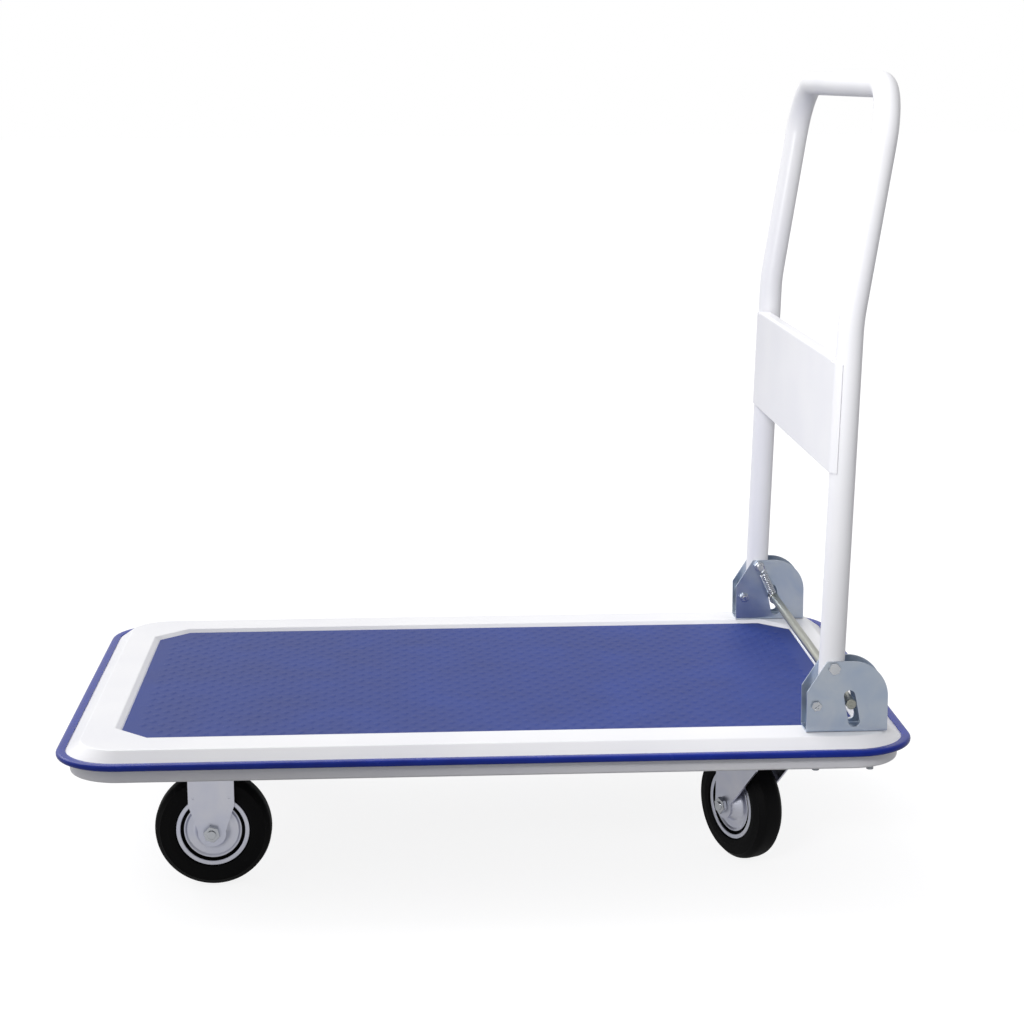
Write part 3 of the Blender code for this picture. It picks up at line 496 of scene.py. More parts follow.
def deckPlace(spot, inset, z):
    # every point of a ring moves along the line from its own corner's centre
    core = deckHalf - Vector((deck["corner"], deck["corner"], 0.0))
    centre = Vector((max(-core.x, min(core.x, spot.x)), max(-core.y, min(core.y, spot.y)), 0.0))
    way = (Vector((spot.x, spot.y, 0.0)) - centre).normalized()
    place = centre + way * (deck["corner"] - inset)
    return (place.x, place.y, z)


def matPlace(spot, grow, z):
    # the corners of a cut rectangle move out along both sides that meet there
    x, y = spot.x - matMiddle.x, spot.y - matMiddle.y
    far = grow
    near = grow * (math.sqrt(2) - 1) - deck["matCut"]
    if abs(x) - matHalf.x < abs(y) - matHalf.y:
        far, near = near, far
    return (matMiddle.x + math.copysign(matHalf.x + far, x), matMiddle.y + math.copysign(matHalf.y + near, y), z)


def sweepRing(shape, ring, section, place):
    for distance, z in section:
        verts, ring = extruded(shape, ring)
        for vert in verts:
            vert.co = place(vert.co, distance, z)
    return ring


def deckRing(shape, inset, z):
    return ringOf(
        shape, Vector(), deckHalf - Vector((inset, inset, 0.0)), deck["corner"] - inset, deck["cornerSteps"], z
    )


def deckPan():
    half = deck["sheet"] / 2
    rim = rimTop - half
    flange = rimTop - deck["flangeDrop"] + half
    hem = flange - deck["hemGap"]
    skirt = panLow.z + half
    roll = deck["hemGap"] * 0.48
    outer = rounded(
        [
            (deck["rimInset"] + 0.008, rim, 0.0),
            (deck["rimInset"], rim, 0.0045),
            (deck["slopeInset"], flange, 0.0025),
            (deck["flangeInset"], flange, roll),
            (deck["flangeInset"], hem, roll),
            (deck["skirtInset"], hem, roll),
            (deck["skirtInset"], skirt, 0.0022),
            (deck["skirtInset"] + deck["skirtReturn"], skirt, 0.0),
        ],
        steps=6,
    )
    stepFoot = gap + half
    stepHead = gap + deck["stepWidth"]
    floor = matLow.z - gap - half
    inner = rounded(
        [
            (stepFoot - 0.006, floor, 0.0),
            (stepFoot, floor, 0.0010),
            (stepHead, rim, 0.0022),
            (stepHead + 0.004, rim, 0.0),
        ],
        steps=5,
    )
    shape = bmesh.new()
    grow = inner[0][0]
    cut = deck["matCut"] + grow * (2 - math.sqrt(2))
    floorRing = ringOf(shape, matMiddle, matHalf + Vector((grow, grow, 0.0)), cut, 1, floor)
    rimRing = deckRing(shape, *outer[0])
    sweepRing(shape, rimRing, outer[1:], deckPlace)
    stepRing = sweepRing(shape, floorRing, inner[1:], matPlace)
    bmesh.ops.triangle_fill(shape, use_beauty=True, use_dissolve=False, edges=stepRing + rimRing, normal=(0, 0, 1))
    bmesh.ops.contextual_create(shape, geom=floorRing)
    pan = objectFrom("deckPan", shape)
    sheetWall(pan, deck["sheet"])
    for word in sides:
        for end in ("front", "rear"):
            spot = middleOf(f"{word}_bracket_bolt_{end}")
            hole = placed(spot.x, spot.y, 0.0)
            boolean(pan, plainRod(bolts["bracket"]["shank"] + boltClear, rim - 0.004, rim + 0.004, hole, 20))
    return dress(pan, "white", "deck", ["deck_pan"], sharp=50)


def deckBumper():
    strip = {"lip": 0.0099, "nose": 0.0031, "lipEdge": 0.0004}
    flange = rimTop - deck["flangeDrop"]
    upper = flange + deck["sheet"] + gap
    lower = flange - deck["hemGap"] - gap
    inner = deck["flangeInset"] - deck["sheet"] / 2 - gap
    section = rounded(
        [
            (strip["lip"], deckHigh.z - gap, strip["lipEdge"]),
            (strip["nose"] * 1.6, deckHigh.z, 0.004),
            (0.0, deckHigh.z - gap / 2, strip["nose"]),
            (0.0, deckLow.z + gap / 2, strip["nose"]),
            (strip["nose"] * 1.6, deckLow.z, 0.004),
            (strip["lip"], deckLow.z + gap, strip["lipEdge"]),
            (strip["lip"], lower, 0.0),
            (inner, lower, 0.0),
            (inner, upper, 0.0),
            (strip["lip"], upper, 0.0),
        ],
        steps=6,
    )
    shape = bmesh.new()
    sweepRing(shape, deckRing(shape, *section[0]), section[1:] + section[:1], deckPlace)
    return dress(objectFrom("deckBumper", shape), "bumper", "deck", ["bumper_strip"], sharp=50)


tread = {
    "across": 20.26 * mm,  # the lozenge lattice along the deck
    "length": 25.29 * mm,  # and across it
    "height": 0.55 * mm,
    "shares": (0.46, 0.36, 0.22),  # each ring of a stud, as a share of the lattice's cell
    "heights": (0.0, 0.75, 1.0),  # and its height, as a share of the stud's
    "stretch": 1.15,  # studs are longer across the deck than the cell's own shape
}


def deckMat():
    # a lozenge grid whose cells each get a low stud, trimmed to the mat's outline and given its thickness
    top = matHigh.z - tread["height"]
    reach = max(matHigh.x - matLow.x, matHigh.y - matLow.y)
    cells = 2 * round(reach / tread["across"]) + 4
    shape = bmesh.new()
    bmesh.ops.create_grid(shape, x_segments=cells, y_segments=cells, size=cells / 2)
    bmesh.ops.rotate(shape, verts=shape.verts, cent=(0, 0, 0), matrix=Matrix.Rotation(math.pi / 4, 3, "Z"))
    stretch = (tread["across"] / math.sqrt(2), tread["length"] / math.sqrt(2), 1.0)
    bmesh.ops.scale(shape, verts=shape.verts, vec=stretch)
    middle = (matLow + matHigh) / 2
    bmesh.ops.translate(shape, verts=shape.verts, vec=(middle.x, middle.y, top))
    margin = tread["length"]
    far = [
        face for face in shape.faces
        if abs(face.calc_center_median().x - middle.x) > (matHigh.x - matLow.x) / 2 + margin
        or abs(face.calc_center_median().y - middle.y) > (matHigh.y - matLow.y) / 2 + margin
    ]
    bmesh.ops.delete(shape, geom=far, context="FACES")
    corner = deck["matCut"]
    cutPlanes = [((matLow.x, 0), (-1, 0)), ((matHigh.x, 0), (1, 0))]
    cutPlanes += [((0, matLow.y), (0, -1)), ((0, matHigh.y), (0, 1))]
    for x, wayX in ((matLow.x, -1), (matHigh.x, 1)):
        for y, wayY in ((matLow.y, -1), (matHigh.y, 1)):
            cutPlanes.append(((x - wayX * corner, y), (wayX, wayY)))
    cellsLeft = list(shape.faces)
    rises = []  # studs near the outline stay flat, so the mat's edge is straight
    for face in cellsLeft:
        spot = face.calc_center_median().xy
        depth = min((Vector(place) - spot).dot(Vector(way).normalized()) for place, way in cutPlanes)
        rises.append(0.0 if depth < margin / 2 else tread["height"])
    for share, height in zip(tread["shares"], tread["heights"]):
        bmesh.ops.inset_individual(shape, faces=cellsLeft, thickness=0.0002, use_even_offset=True)
        for face, rise in zip(cellsLeft, rises):
            centre = face.calc_center_median()
            for vert in face.verts:
                away = vert.co - centre
                across = math.copysign(tread["across"] / 2 * share, away.x) if abs(away.x) > abs(away.y) else 0.0
                along = math.copysign(tread["length"] / 2 * share, away.y) if abs(away.y) >= abs(away.x) else 0.0
                vert.co = (centre.x + across, centre.y + along * tread["stretch"], top + rise * height)
    for place, way in cutPlanes:
        bmesh.ops.bisect_plane(
            shape, geom=everythingIn(shape), plane_co=(*place, top), plane_no=(*way, 0), clear_outer=True
        )
    border = [edge for edge in shape.edges if edge.is_boundary]
    grown = bmesh.ops.extrude_edge_only(shape, edges=border)["geom"]
    for vert in vertsIn(grown):
        vert.co.z = matLow.z
    foot = [edge for edge in edgesIn(grown) if edge.is_boundary]
    bmesh.ops.contextual_create(shape, geom=foot)
    return dress(objectFrom("deckMat", shape), "mat", "deck", ["deck_mat"], sharp=60)


deckPan()
deckBumper()
deckMat()
print("deck made")


# handle brackets

bracket = {
    "sheet": 0.002,
    "bend": 0.0030,  # outside radius of the bends along the base
    "shoulder": 0.044,
    "slope": 0.021,
    "arc": 0.039,
    "barRadius": 0.0054,
    "slotTilt": math.radians(11),
    "slotUp": 0.009,
    "slotDown": 0.0195,
    "slotClear": 0.0006,
    "edge": 0.00035,
}
pivot = Vector(joints["handle_fold"]["pos_m"])
barLow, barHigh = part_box("lock_bar")
barPlace = (barLow + barHigh) / 2


def handleBracket(word, side):
    low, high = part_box(word + "_bracket")
    section = channelOutline(low.y, high.y, low.z, high.z + past, bracket["sheet"], bracket["bend"])
    piece = objectFrom(word + "Bracket", prism(bmesh.new(), section, "X", low.x - past, high.x + past))
    cheek = rounded(
        [
            (low.x, low.z - past, 0.0),
            (high.x, low.z - past, 0.0),
            (high.x, high.z, bracket["arc"]),
            (low.x + bracket["slope"], high.z, 0.0015),
            (low.x, low.z + bracket["shoulder"], 0.0015),
        ],
        steps=20,
    )
    boolean(piece, prism(bmesh.new(), cheek, "Y", low.y - past, high.y + past), "INTERSECT")
    radius = bracket["barRadius"] + bracket["slotClear"]
    lean = math.degrees(bracket["slotTilt"])
    up = Vector((-math.sin(bracket["slotTilt"]), math.cos(bracket["slotTilt"])))
    bar = Vector((barPlace.x, barPlace.z))
    slotEnds = arcPoints(bar + up * bracket["slotUp"], radius, lean, lean + 180, 16)
    slotEnds += arcPoints(bar - up * bracket["slotDown"], radius, lean + 180, lean + 360, 16)
    boolean(piece, prism(bmesh.new(), rounded(slotEnds), "Y", low.y - past, high.y + past))
    for job in ("pivot", "stop"):
        spot = middleOf(f"{word}_{job}_nut")
        hole = placed(spot.x, 0.0, spot.z, alongY)
        boolean(piece, plainRod(bolts[job]["shank"] + boltClear, low.y - past, high.y + past, hole, 24))
    softEdges(piece, bracket["edge"])
    return dress(piece, "zinc", "deck", [word + "_bracket"], sharp=35)


nutHeight = 0.0055
threadPitch = 1.25 * mm


def hexagonShape(shape, flats, low, high, matrix, chamferLow=True):
    # a hexagon whose corners are taken off at its outer faces
    radius = flats / 2 / math.cos(math.pi / 6)
    made = bmesh.ops.create_cone(
        shape, cap_ends=True, segments=6, radius1=radius, radius2=radius, depth=high - low,
        matrix=Matrix.Translation((0, 0, (low + high) / 2)),
    )["verts"]
    ends = [high] + ([low] if chamferLow else [])
    edges = [
        edge for edge in {edge for vert in made for edge in vert.link_edges}
        if any(all(abs(vert.co.z - end) < weld for vert in edge.verts) for end in ends)
    ]
    grown = bmesh.ops.bevel(
        shape, geom=edges, offset=flats * 0.055, offset_type="OFFSET", segments=2, profile=0.5, affect="EDGES",
        material=-1,
    )
    everything = {vert for vert in made if vert.is_valid} | set(grown["verts"])
    bmesh.ops.transform(shape, matrix=matrix, verts=list(everything))
    return shape


def threadProfile(radius, low, high, pitch=threadPitch):
    # ridges instead of a helix: at this size they look the same
    count = max(1, round((high - low) / pitch))
    depth = pitch * 0.45
    profile = [(0.0, low), (radius - depth, low)]
    for i in range(count):
        start = low + (high - low) * i / count
        step = (high - low) / count
        profile += [(radius, start + step * 0.45), (radius, start + step * 0.60), (radius - depth, start + step)]
    return profile + [(0.0, high)]


def boltPiece(name, size, matrix, tip, finish="bolt", body="deck", stands=(), cross=False):
    # local Z points from the shank to the head; the head's inner face is at z = 0 and the tip at z = -tip
    shape = bmesh.new()
    hexagonShape(shape, size["flats"], size["head"] * 0.12, size["head"], matrix, chamferLow=False)
    face = size["flats"] * 0.49
    washer = size["head"] * 0.15
    turnedShape(shape, [(0.0, 0.0), (face, 0.0), (face, washer), (0.0, washer)], 28, matrix, closed=False)
    shank = size["shank"]
    plain = -tip * 0.45
    turnedShape(shape, [(0.0, plain), (shank, plain), (shank, 0.0), (0.0, 0.0)], 24, matrix, closed=False)
    turnedShape(shape, threadProfile(shank, -tip, plain), 24, matrix, closed=False)
    piece = objectFrom(name, shape)
    if cross:
        arm = size["flats"] * 0.30
        half = size["flats"] * 0.055
        floor = size["head"] * 0.45
        for x, y in ((arm, half), (half, arm)):
            boolean(piece, block((-x, -y, floor), (x, y, size["head"] * 1.2), matrix))
    return dress(piece, finish, body, stands, sharp=30)


def nutPiece(name, size, matrix, height, body="deck", stands=()):
    # local Z points away from the face that the nut sits on
    shape = hexagonShape(bmesh.new(), size["flats"], 0.0, height, matrix)
    piece = objectFrom(name, shape)
    boolean(piece, plainRod(size["shank"] + 0.1 * mm, -0.002, height + 0.002, matrix, 24))
    return dress(piece, "bolt", body, stands, sharp=30)


def bracketFasteners(word, side):
    low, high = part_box(word + "_bracket")
    outerFace = high.y + gap if side > 0 else low.y - gap
    innerFace = low.y - gap if side > 0 else high.y + gap
    out = alongY if side > 0 else alongMinusY  # local Z points away from the cart
    inward = alongMinusY if side > 0 else alongY
    for job, cross in (("pivot", False), ("stop", True)):
        spot = middleOf(f"{word}_{job}_nut")
        boltLow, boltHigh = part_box(f"{word}_{job}_bolt")
        tip = abs(outerFace - (boltLow.y if side > 0 else boltHigh.y))
        nutLow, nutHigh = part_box(f"{word}_{job}_nut")
        turn = turnZ(17 if side > 0 else 40)
        boltPiece(
            f"{word}{job.title()}Bolt", bolts[job], placed(spot.x, outerFace, spot.z, out @ turn), tip,
            stands=[f"{word}_{job}_bolt"], cross=cross,
        )
        nutPiece(
            f"{word}{job.title()}Nut", bolts[job], placed(spot.x, innerFace, spot.z, inward @ turn),
            nutHigh.y - nutLow.y, stands=[f"{word}_{job}_nut"],
        )
    seat = low.z + bracket["sheet"] + gap
    for end in ("front", "rear"):
        node = f"{word}_bracket_bolt_{end}"
        nodeLow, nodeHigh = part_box(node)
        nutLow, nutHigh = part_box(f"{word}_bracket_nut_{end}")
        spot = middleOf(node)
        boltPiece(
            f"{word}BracketBolt{end.title()}", bolts["bracket"], placed(spot.x, spot.y, seat),
            seat - nodeLow.z, stands=[node],
        )
        down = upsideDown @ turnZ(12)
        nutPiece(
            f"{word}BracketNut{end.title()}", bolts["bracket"], placed(spot.x, spot.y, nutHigh.z, down),
            nutHigh.z - nutLow.z, stands=[f"{word}_bracket_nut_{end}"],
        )


for word, side in sides.items():
    handleBracket(word, side)
    bracketFasteners(word, side)
print("brackets made")


# lock bar and its springs

def lockBar():
    place = placed(barPlace.x, 0.0, barPlace.z, alongY)
    shape = rodShape(bracket["barRadius"], barLow.y, barHigh.y, place, 40, 0.0009)
    return dress(objectFrom("lockBar", shape), "bar", "lock_bar", ["lock_bar"], sharp=30)


spring = {
    "radius": 0.0046,
    "wire": 0.0008,
    "turns": 11,
    "stepsPerTurn": 14,
    "hookSteps": 12,
    "topHook": 0.0050,  # round the pivot bolt's tail
    "bottomHook": 0.0064,  # round the lock bar
    "lead": 0.0022,  # straight wire between a hook and the coil
}


def lockSpring(word, side):
    nodeLow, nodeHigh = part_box(word + "_lock_spring")
    y = (nodeLow.y + nodeHigh.y) / 2
    top = Vector((pivot.x, y, pivot.z))
    bottom = Vector((barPlace.x, y, barPlace.z))
    along = (bottom - top).normalized()
    across = Vector((0.0, 1.0, 0.0))
    third = along.cross(across)
    steps = spring["hookSteps"]
    hookAngles = [math.radians(-20) + math.radians(230) * i / steps for i in range(steps + 1)]
    hook = [third * math.sin(angle) + along * math.cos(angle) for angle in hookAngles]
    points = [top + way * spring["topHook"] for way in reversed(hook)]
    coilStart = spring["topHook"] + spring["lead"]
    coilEnd = (bottom - top).length - spring["bottomHook"] - spring["lead"]
    count = spring["turns"] * spring["stepsPerTurn"]
    for i in range(count + 1):
        turn = 2 * math.pi * i / spring["stepsPerTurn"]
        centre = top + along * (coilStart + (coilEnd - coilStart) * i / count)
        points.append(centre + (third * math.cos(turn) + across * math.sin(turn)) * spring["radius"])
    points += [bottom - way * spring["bottomHook"] for way in hook]
    data = bpy.data.curves.new(word + "LockSpring", "CURVE")
    data.dimensions = "3D"
    data.bevel_depth = spring["wire"]
    data.bevel_resolution = 2
    data.use_fill_caps = True
    line = data.splines.new("POLY")
    line.points.add(len(points) - 1)
    for point, place in zip(line.points, points):
        point.co = (*place, 1.0)
    holder = bpy.data.objects.new("holder", data)
    bpy.context.scene.collection.objects.link(holder)
    bpy.context.view_layer.update()
    graph = bpy.context.evaluated_depsgraph_get()
    shape = bmesh.new()
    mesh = bpy.data.meshes.new_from_object(holder.evaluated_get(graph))
    shape.from_mesh(mesh)
    bpy.data.objects.remove(holder, do_unlink=True)
    piece = objectFrom(word + "LockSpring", shape)
    mesh = piece.data
    mesh.materials.clear()
    mesh.materials.append(finishes["bolt"])
    mesh.shade_smooth()
    mesh.set_sharp_from_angle(angle=math.radians(60))
    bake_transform(piece)
    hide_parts(word + "_lock_spring")


lockBar()
for word, side in sides.items():
    lockSpring(word, side)
print("lock bar and springs made")


# handle

handle = {
    "radius": 0.0136,
    "wall": 0.0016,
    "lean": math.radians(1.9),
    "bend": math.radians(7.1),
    "bendHeight": 0.365,
    "bendRadius": 0.250,
    "upper": 0.2418,
    "gripCorner": 0.062,
    "tail": 0.034,
    "tubeSteps": 40,
    "gripSteps": 18,
}
legY = (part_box("left_bracket")[0].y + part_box("left_bracket")[1].y) / 2  # the near leg, below zero
handleFrame = Matrix.Translation(pivot) @ Matrix.Rotation(handle["lean"], 4, "Y")


def handleTube():
    # one tube bent round: a ring of edges is pushed straight and spun round each bend's centre
    shape = bmesh.new()
    start = Vector((0.0, legY, -handle["tail"]))
    made = bmesh.ops.create_circle(
        shape, cap_ends=False, segments=handle["tubeSteps"], radius=handle["radius"], matrix=Matrix.Translation(start)
    )["verts"]
    loop = list({edge for vert in made for edge in vert.link_edges})
    spot = start

    def push(way, length):
        nonlocal loop, spot
        verts, loop = extruded(shape, loop)
        bmesh.ops.translate(shape, verts=verts, vec=way * length)
        spot = spot + way * length

    def turn(centre, axis, angle, steps):
        nonlocal loop, spot
        verts = list({vert for edge in loop for vert in edge.verts})
        loop = spun(shape, verts, loop, centre, axis, angle, steps)
        spot = centre + Matrix.Rotation(angle, 3, axis) @ (spot - centre)

    setback = handle["bendRadius"] * math.tan(handle["bend"] / 2)
    up = Vector((0.0, 0.0, 1.0))
    aside = Vector((0.0, 1.0, 0.0))
    leant = Vector((math.sin(handle["bend"]), 0.0, math.cos(handle["bend"])))
    corner = handle["gripCorner"]
    lower = handle["tail"] + handle["bendHeight"] - setback
    upper = handle["upper"] - corner - setback
    rearward = Vector((1.0, 0.0, 0.0))
    push(up, lower)
    turn(spot + rearward * handle["bendRadius"], aside, handle["bend"], 6)
    push(leant, upper)
    gripAxis = leant.cross(aside)
    turn(spot + aside * corner, gripAxis, math.pi / 2, handle["gripSteps"])
    push(aside, -2 * legY - 2 * corner)
    turn(spot - leant * corner, gripAxis, math.pi / 2, handle["gripSteps"])
    push(-leant, upper)
    bendCentre = spot + (rearward * math.cos(handle["bend"]) - up * math.sin(handle["bend"])) * handle["bendRadius"]
    turn(bendCentre, -aside, handle["bend"], 6)
    push(-up, lower)
    bmesh.ops.transform(shape, matrix=handleFrame, verts=shape.verts)
    piece = objectFrom("handleTube", shape)
    sheetWall(piece, handle["wall"], -1.0)
    return dress(piece, "white", "handle", ["handle_tube"], sharp=40)


panel = {
    "sheet": 0.0012,
    "low": 0.207,
    "height": 0.117,
    "flange": 0.012,
    "flangeGap": 0.002,
    "wrap": math.radians(56),
    "bend": 0.0025,
    "corner": 0.005,  # of the wrapped ends
    "wrapSteps": 12,
    "foldSteps": 5,
    "edge": 0.0003,
}


def handlePanel():
    radius = handle["radius"] + gap + panel["sheet"] / 2
    steps = panel["wrapSteps"]
    angles = [math.pi + panel["wrap"] * (1 - i / steps) for i in range(steps + 1)]
    section = [(radius * math.cos(angle), legY + radius * math.sin(angle)) for angle in angles]
    section += [(x, -y) for x, y in reversed(section)]
    shape = bmesh.new()
    foot = [shape.verts.new((x, y, panel["low"])) for x, y in section]
    edges = [shape.edges.new(pair) for pair in zip(foot, foot[1:])]
    height = panel["height"]
    corner = panel["corner"]
    levels = [corner * 0.3, corner, height - corner, height - corner * 0.3, height]
    before = 0.0
    for level in levels:
        raised, edges = extruded(shape, edges)
        bmesh.ops.translate(shape, verts=raised, vec=(0.0, 0.0, level - before))
        before = level
    inside = -legY - handle["radius"] - panel["sheet"] - panel["flangeGap"]
    for y in (-inside, inside):
        bmesh.ops.bisect_plane(shape, geom=everythingIn(shape), plane_co=(0.0, y, 0.0), plane_no=(0.0, 1.0, 0.0))
    top = panel["low"] + height
    crest = [
        edge for edge in shape.edges
        if all(vert.co.z > top - gap and abs(vert.co.y) < inside + gap for vert in edge.verts)
    ]
    verts = list({vert for edge in crest for vert in edge.verts})
    foldCentre = (-radius + panel["bend"], 0.0, top)
    lip = spun(shape, verts, crest, foldCentre, (0, 1, 0), math.pi / 2, panel["foldSteps"])
    ends, lip = extruded(shape, lip)
    bmesh.ops.translate(shape, verts=ends, vec=(panel["flange"] - panel["bend"], 0.0, 0.0))
    # the fold's radius stands on top of the sheet, so the whole sheet comes down by it
    for vert in shape.verts:
        if vert.co.z > panel["low"] + height * 0.5:
            vert.co.z -= panel["bend"]
    bmesh.ops.transform(shape, matrix=handleFrame, verts=shape.verts)
    piece = objectFrom("handlePanel", shape)
    sheetWall(piece, panel["sheet"])
    softEdges(piece, panel["edge"], 50)
    return dress(piece, "white", "handle", ["handle_panel"], sharp=40)


handleTube()
handlePanel()
print("handle made")


# wheels

wheel = {
    "radius": 0.0625,
    "halfWidth": 0.016,
    "bead": 0.0342,
    "flankRadius": 0.047,
    "flangeRadius": 0.0394,
    "flangeHalfWidth": 0.0142,
    "rimSheet": 0.0016,
    "discRadius": 0.031,
    "hubRadius": 0.012,
    "hubHalfWidth": 0.020,
    "bore": 0.0071,
    "steps": 96,
}


def wheelShape(half, steps, matrix):
    # half of a section, mirrored about the wheel's middle and turned round its axle
    mirrored = [(radius, -height, bend) for radius, height, bend in reversed(half)]
    return turnedShape(bmesh.new(), rounded(half + mirrored, steps=steps), wheel["steps"], matrix)


def tyreShape(matrix):
    width = wheel["halfWidth"]
    flank = wheel["flangeHalfWidth"] - wheel["rimSheet"] - gap
    lip = wheel["flangeRadius"] + gap
    ridge = 0.0003
    half = [
        (wheel["radius"], width * 0.30, 0.0),
        (wheel["radius"] - 0.0009, width * 0.62, 0.006),
        (wheel["radius"] - 0.0056, width * 0.90, 0.004),
        (wheel["radius"] - 0.0062, width * 0.93 + ridge, 0.0),
        (wheel["radius"] - 0.0068, width * 0.93, 0.0),
        (wheel["flankRadius"], width, 0.006),
        (lip + 0.001, width - 0.0006, 0.0008),
        (lip, flank, 0.0),
        (wheel["bead"], flank, 0.0),
    ]
    return wheelShape(half, 5, matrix)


def rimShape(matrix):
    barrel = wheel["bead"] - gap
    flange = wheel["flangeHalfWidth"]
    sheet = wheel["rimSheet"]
    disc = wheel["discRadius"]
    half = [
        (barrel, flange - sheet, 0.0006),
        (wheel["flangeRadius"], flange - sheet, 0.0005),
        (wheel["flangeRadius"], flange, 0.0009),
        (barrel + 0.0008, flange, 0.0010),
        (barrel - 0.0004, flange - 0.005, 0.0006),
        (disc + 0.0006, flange - 0.005, 0.0006),
        (disc, flange - 0.0004, 0.0011),
        (disc - 0.0035, flange - 0.0030, 0.0020),
        (wheel["hubRadius"] + 0.0080, flange - 0.0034, 0.0050),
        (wheel["hubRadius"] + 0.0008, wheel["hubHalfWidth"] - 0.0020, 0.0020),
        (wheel["hubRadius"], wheel["hubHalfWidth"], 0.0008),
        (wheel["bore"], wheel["hubHalfWidth"], 0.0),
    ]
    return wheelShape(half, 4, matrix)


def wheelPieces(word, nodeWord, matrix, body):
    tyre = objectFrom(word + "Tyre", tyreShape(matrix))
    dress(tyre, "rubber", body, [nodeWord + "_tyre"], sharp=35)
    rim = objectFrom(word + "Rim", rimShape(matrix))
    dress(rim, "pressedZinc", body, [nodeWord + "_rim"], sharp=35)
    # the deep groove between the flange and the disc gets the black rubber finish on the steel rim: painted shade in
    # the groove
    rim.data.materials.append(finishes["rubber"])
    back = matrix.inverted()
    floor = wheel["flangeHalfWidth"] - 0.0012
    for face in rim.data.polygons:
        local = back @ face.center
        away = math.hypot(local.x, local.y)
        if wheel["discRadius"] + 0.0001 < away < wheel["bead"] + 0.0002 and abs(local.z) < floor:
            face.material_index = 1


# castors

castor = {
    "forkSheet": 0.0025,
    "forkGap": 0.0213,
    "boss": 0.015,
    "plateSheet": 0.003,
    "plateLength": 0.092,
    "plateWidth": 0.066,
    "plateCorner": 0.007,
    "plateHole": 0.0042,
    "holeInset": 0.010,
    "frontWidth": 0.049,
    "frontTaper": 0.093,
    "forkTop": 0.137,
    "race": 0.027,
    "pin": 0.006,
    "frontReach": 0.0216,
    "frontEdge": 0.019,
    "rearReach": 0.048,
    "rearFlare": 0.006,
    "rearEdge": 0.037,
    "bend": 0.0045,
    "edge": 0.0004,
    "axleHole": 0.0052,
    "pinClear": 0.0004,
    "sleeve": 0.0066,
    "sleeveBore": 0.0053,
    "axleTail": 0.0015,  # the axle bolt's tip beyond its nut
    "memberFloor": 0.0026,  # between the plate and its nuts
    "boltLength": 0.0115,
    "nutHeight": 0.0045,
}
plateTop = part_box("rear_left_top_plate")[1].z
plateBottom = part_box("rear_left_top_plate")[0].z
axleHeight = wheel["radius"]


def plateShape(matrix):
    x = castor["plateLength"] / 2
    y = castor["plateWidth"] / 2
    corners = [(a * x, b * y, castor["plateCorner"]) for a, b in ((1, -1), (1, 1), (-1, 1), (-1, -1))]
    outline = rounded(corners, steps=6)
    return prism(bmesh.new(), outline, "Z", plateBottom, plateTop, matrix)


def plateCorners():
    x = castor["plateLength"] / 2 - castor["holeInset"]
    y = castor["plateWidth"] / 2 - castor["holeInset"]
    return [(a * x, b * y) for a in (-1, 1) for b in (-1, 1)]


def drillPlate(piece, matrix):
    for x, y in plateCorners():
        hole = matrix @ placed(x, y, 0.0)
        boolean(piece, plainRod(castor["plateHole"], plateBottom - 0.005, plateTop + 0.005, hole, 20))


def castorBolts(word, matrix):
    # four bolts up through the plate and the cross member's floor, with their nuts inside the member
    for i, (x, y) in enumerate(plateCorners()):
        turn = upsideDown @ turnZ(10 + 23 * i)
        boltPiece(
            f"{word}PlateBolt{i + 1}", bolts["castor"], matrix @ placed(x, y, plateBottom - gap, turn),
            castor["boltLength"],
        )
        shape = bmesh.new()
        spot = matrix @ placed(x, y, plateTop + castor["memberFloor"], turnZ(31 * i))
        hexagonShape(shape, bolts["castor"]["flats"], 0.0, castor["nutHeight"], spot)
        dress(objectFrom(f"{word}PlateNut{i + 1}", shape), "bolt", "deck", sharp=30)


def rigidFork(word, nodeWord, matrix):
    piece = objectFrom(word + "Fork", plateShape(matrix))
    half = castor["frontWidth"] / 2
    head = plateTop - castor["plateSheet"] / 2
    taper = castor["frontTaper"]
    outline = rounded(
        [(half, taper, 0.010), (half, head, 0.0), (-half, head, 0.0), (-half, taper, 0.010)]
        + arcPoints((0.0, axleHeight), castor["boss"], 170, 370, 24),
        steps=4,
    )
    for side in (-1, 1):
        low, high = sorted((side * castor["forkGap"], side * (castor["forkGap"] + castor["forkSheet"])))
        boolean(piece, prism(bmesh.new(), outline, "Y", low, high, matrix), "UNION")
    reach = castor["forkGap"] + past
    boolean(piece, plainRod(castor["axleHole"], -reach, reach, matrix @ placed(0.0, 0.0, axleHeight, alongY), 24))
    # two shallow dimples where the press located the cheek
    for along in (-0.019, 0.019):
        for side in (-1, 1):
            face = side * (castor["forkGap"] + castor["forkSheet"])
            low, high = sorted((face - side * 0.0008, face + side * 0.003))
            boolean(piece, plainRod(0.0016, low, high, matrix @ placed(along, 0.0, 0.102, alongY), 16))
    drillPlate(piece, matrix)
    softEdges(piece, castor["edge"])
    return dress(piece, "pressedZinc", "deck", [nodeWord + "_fork"], sharp=35)


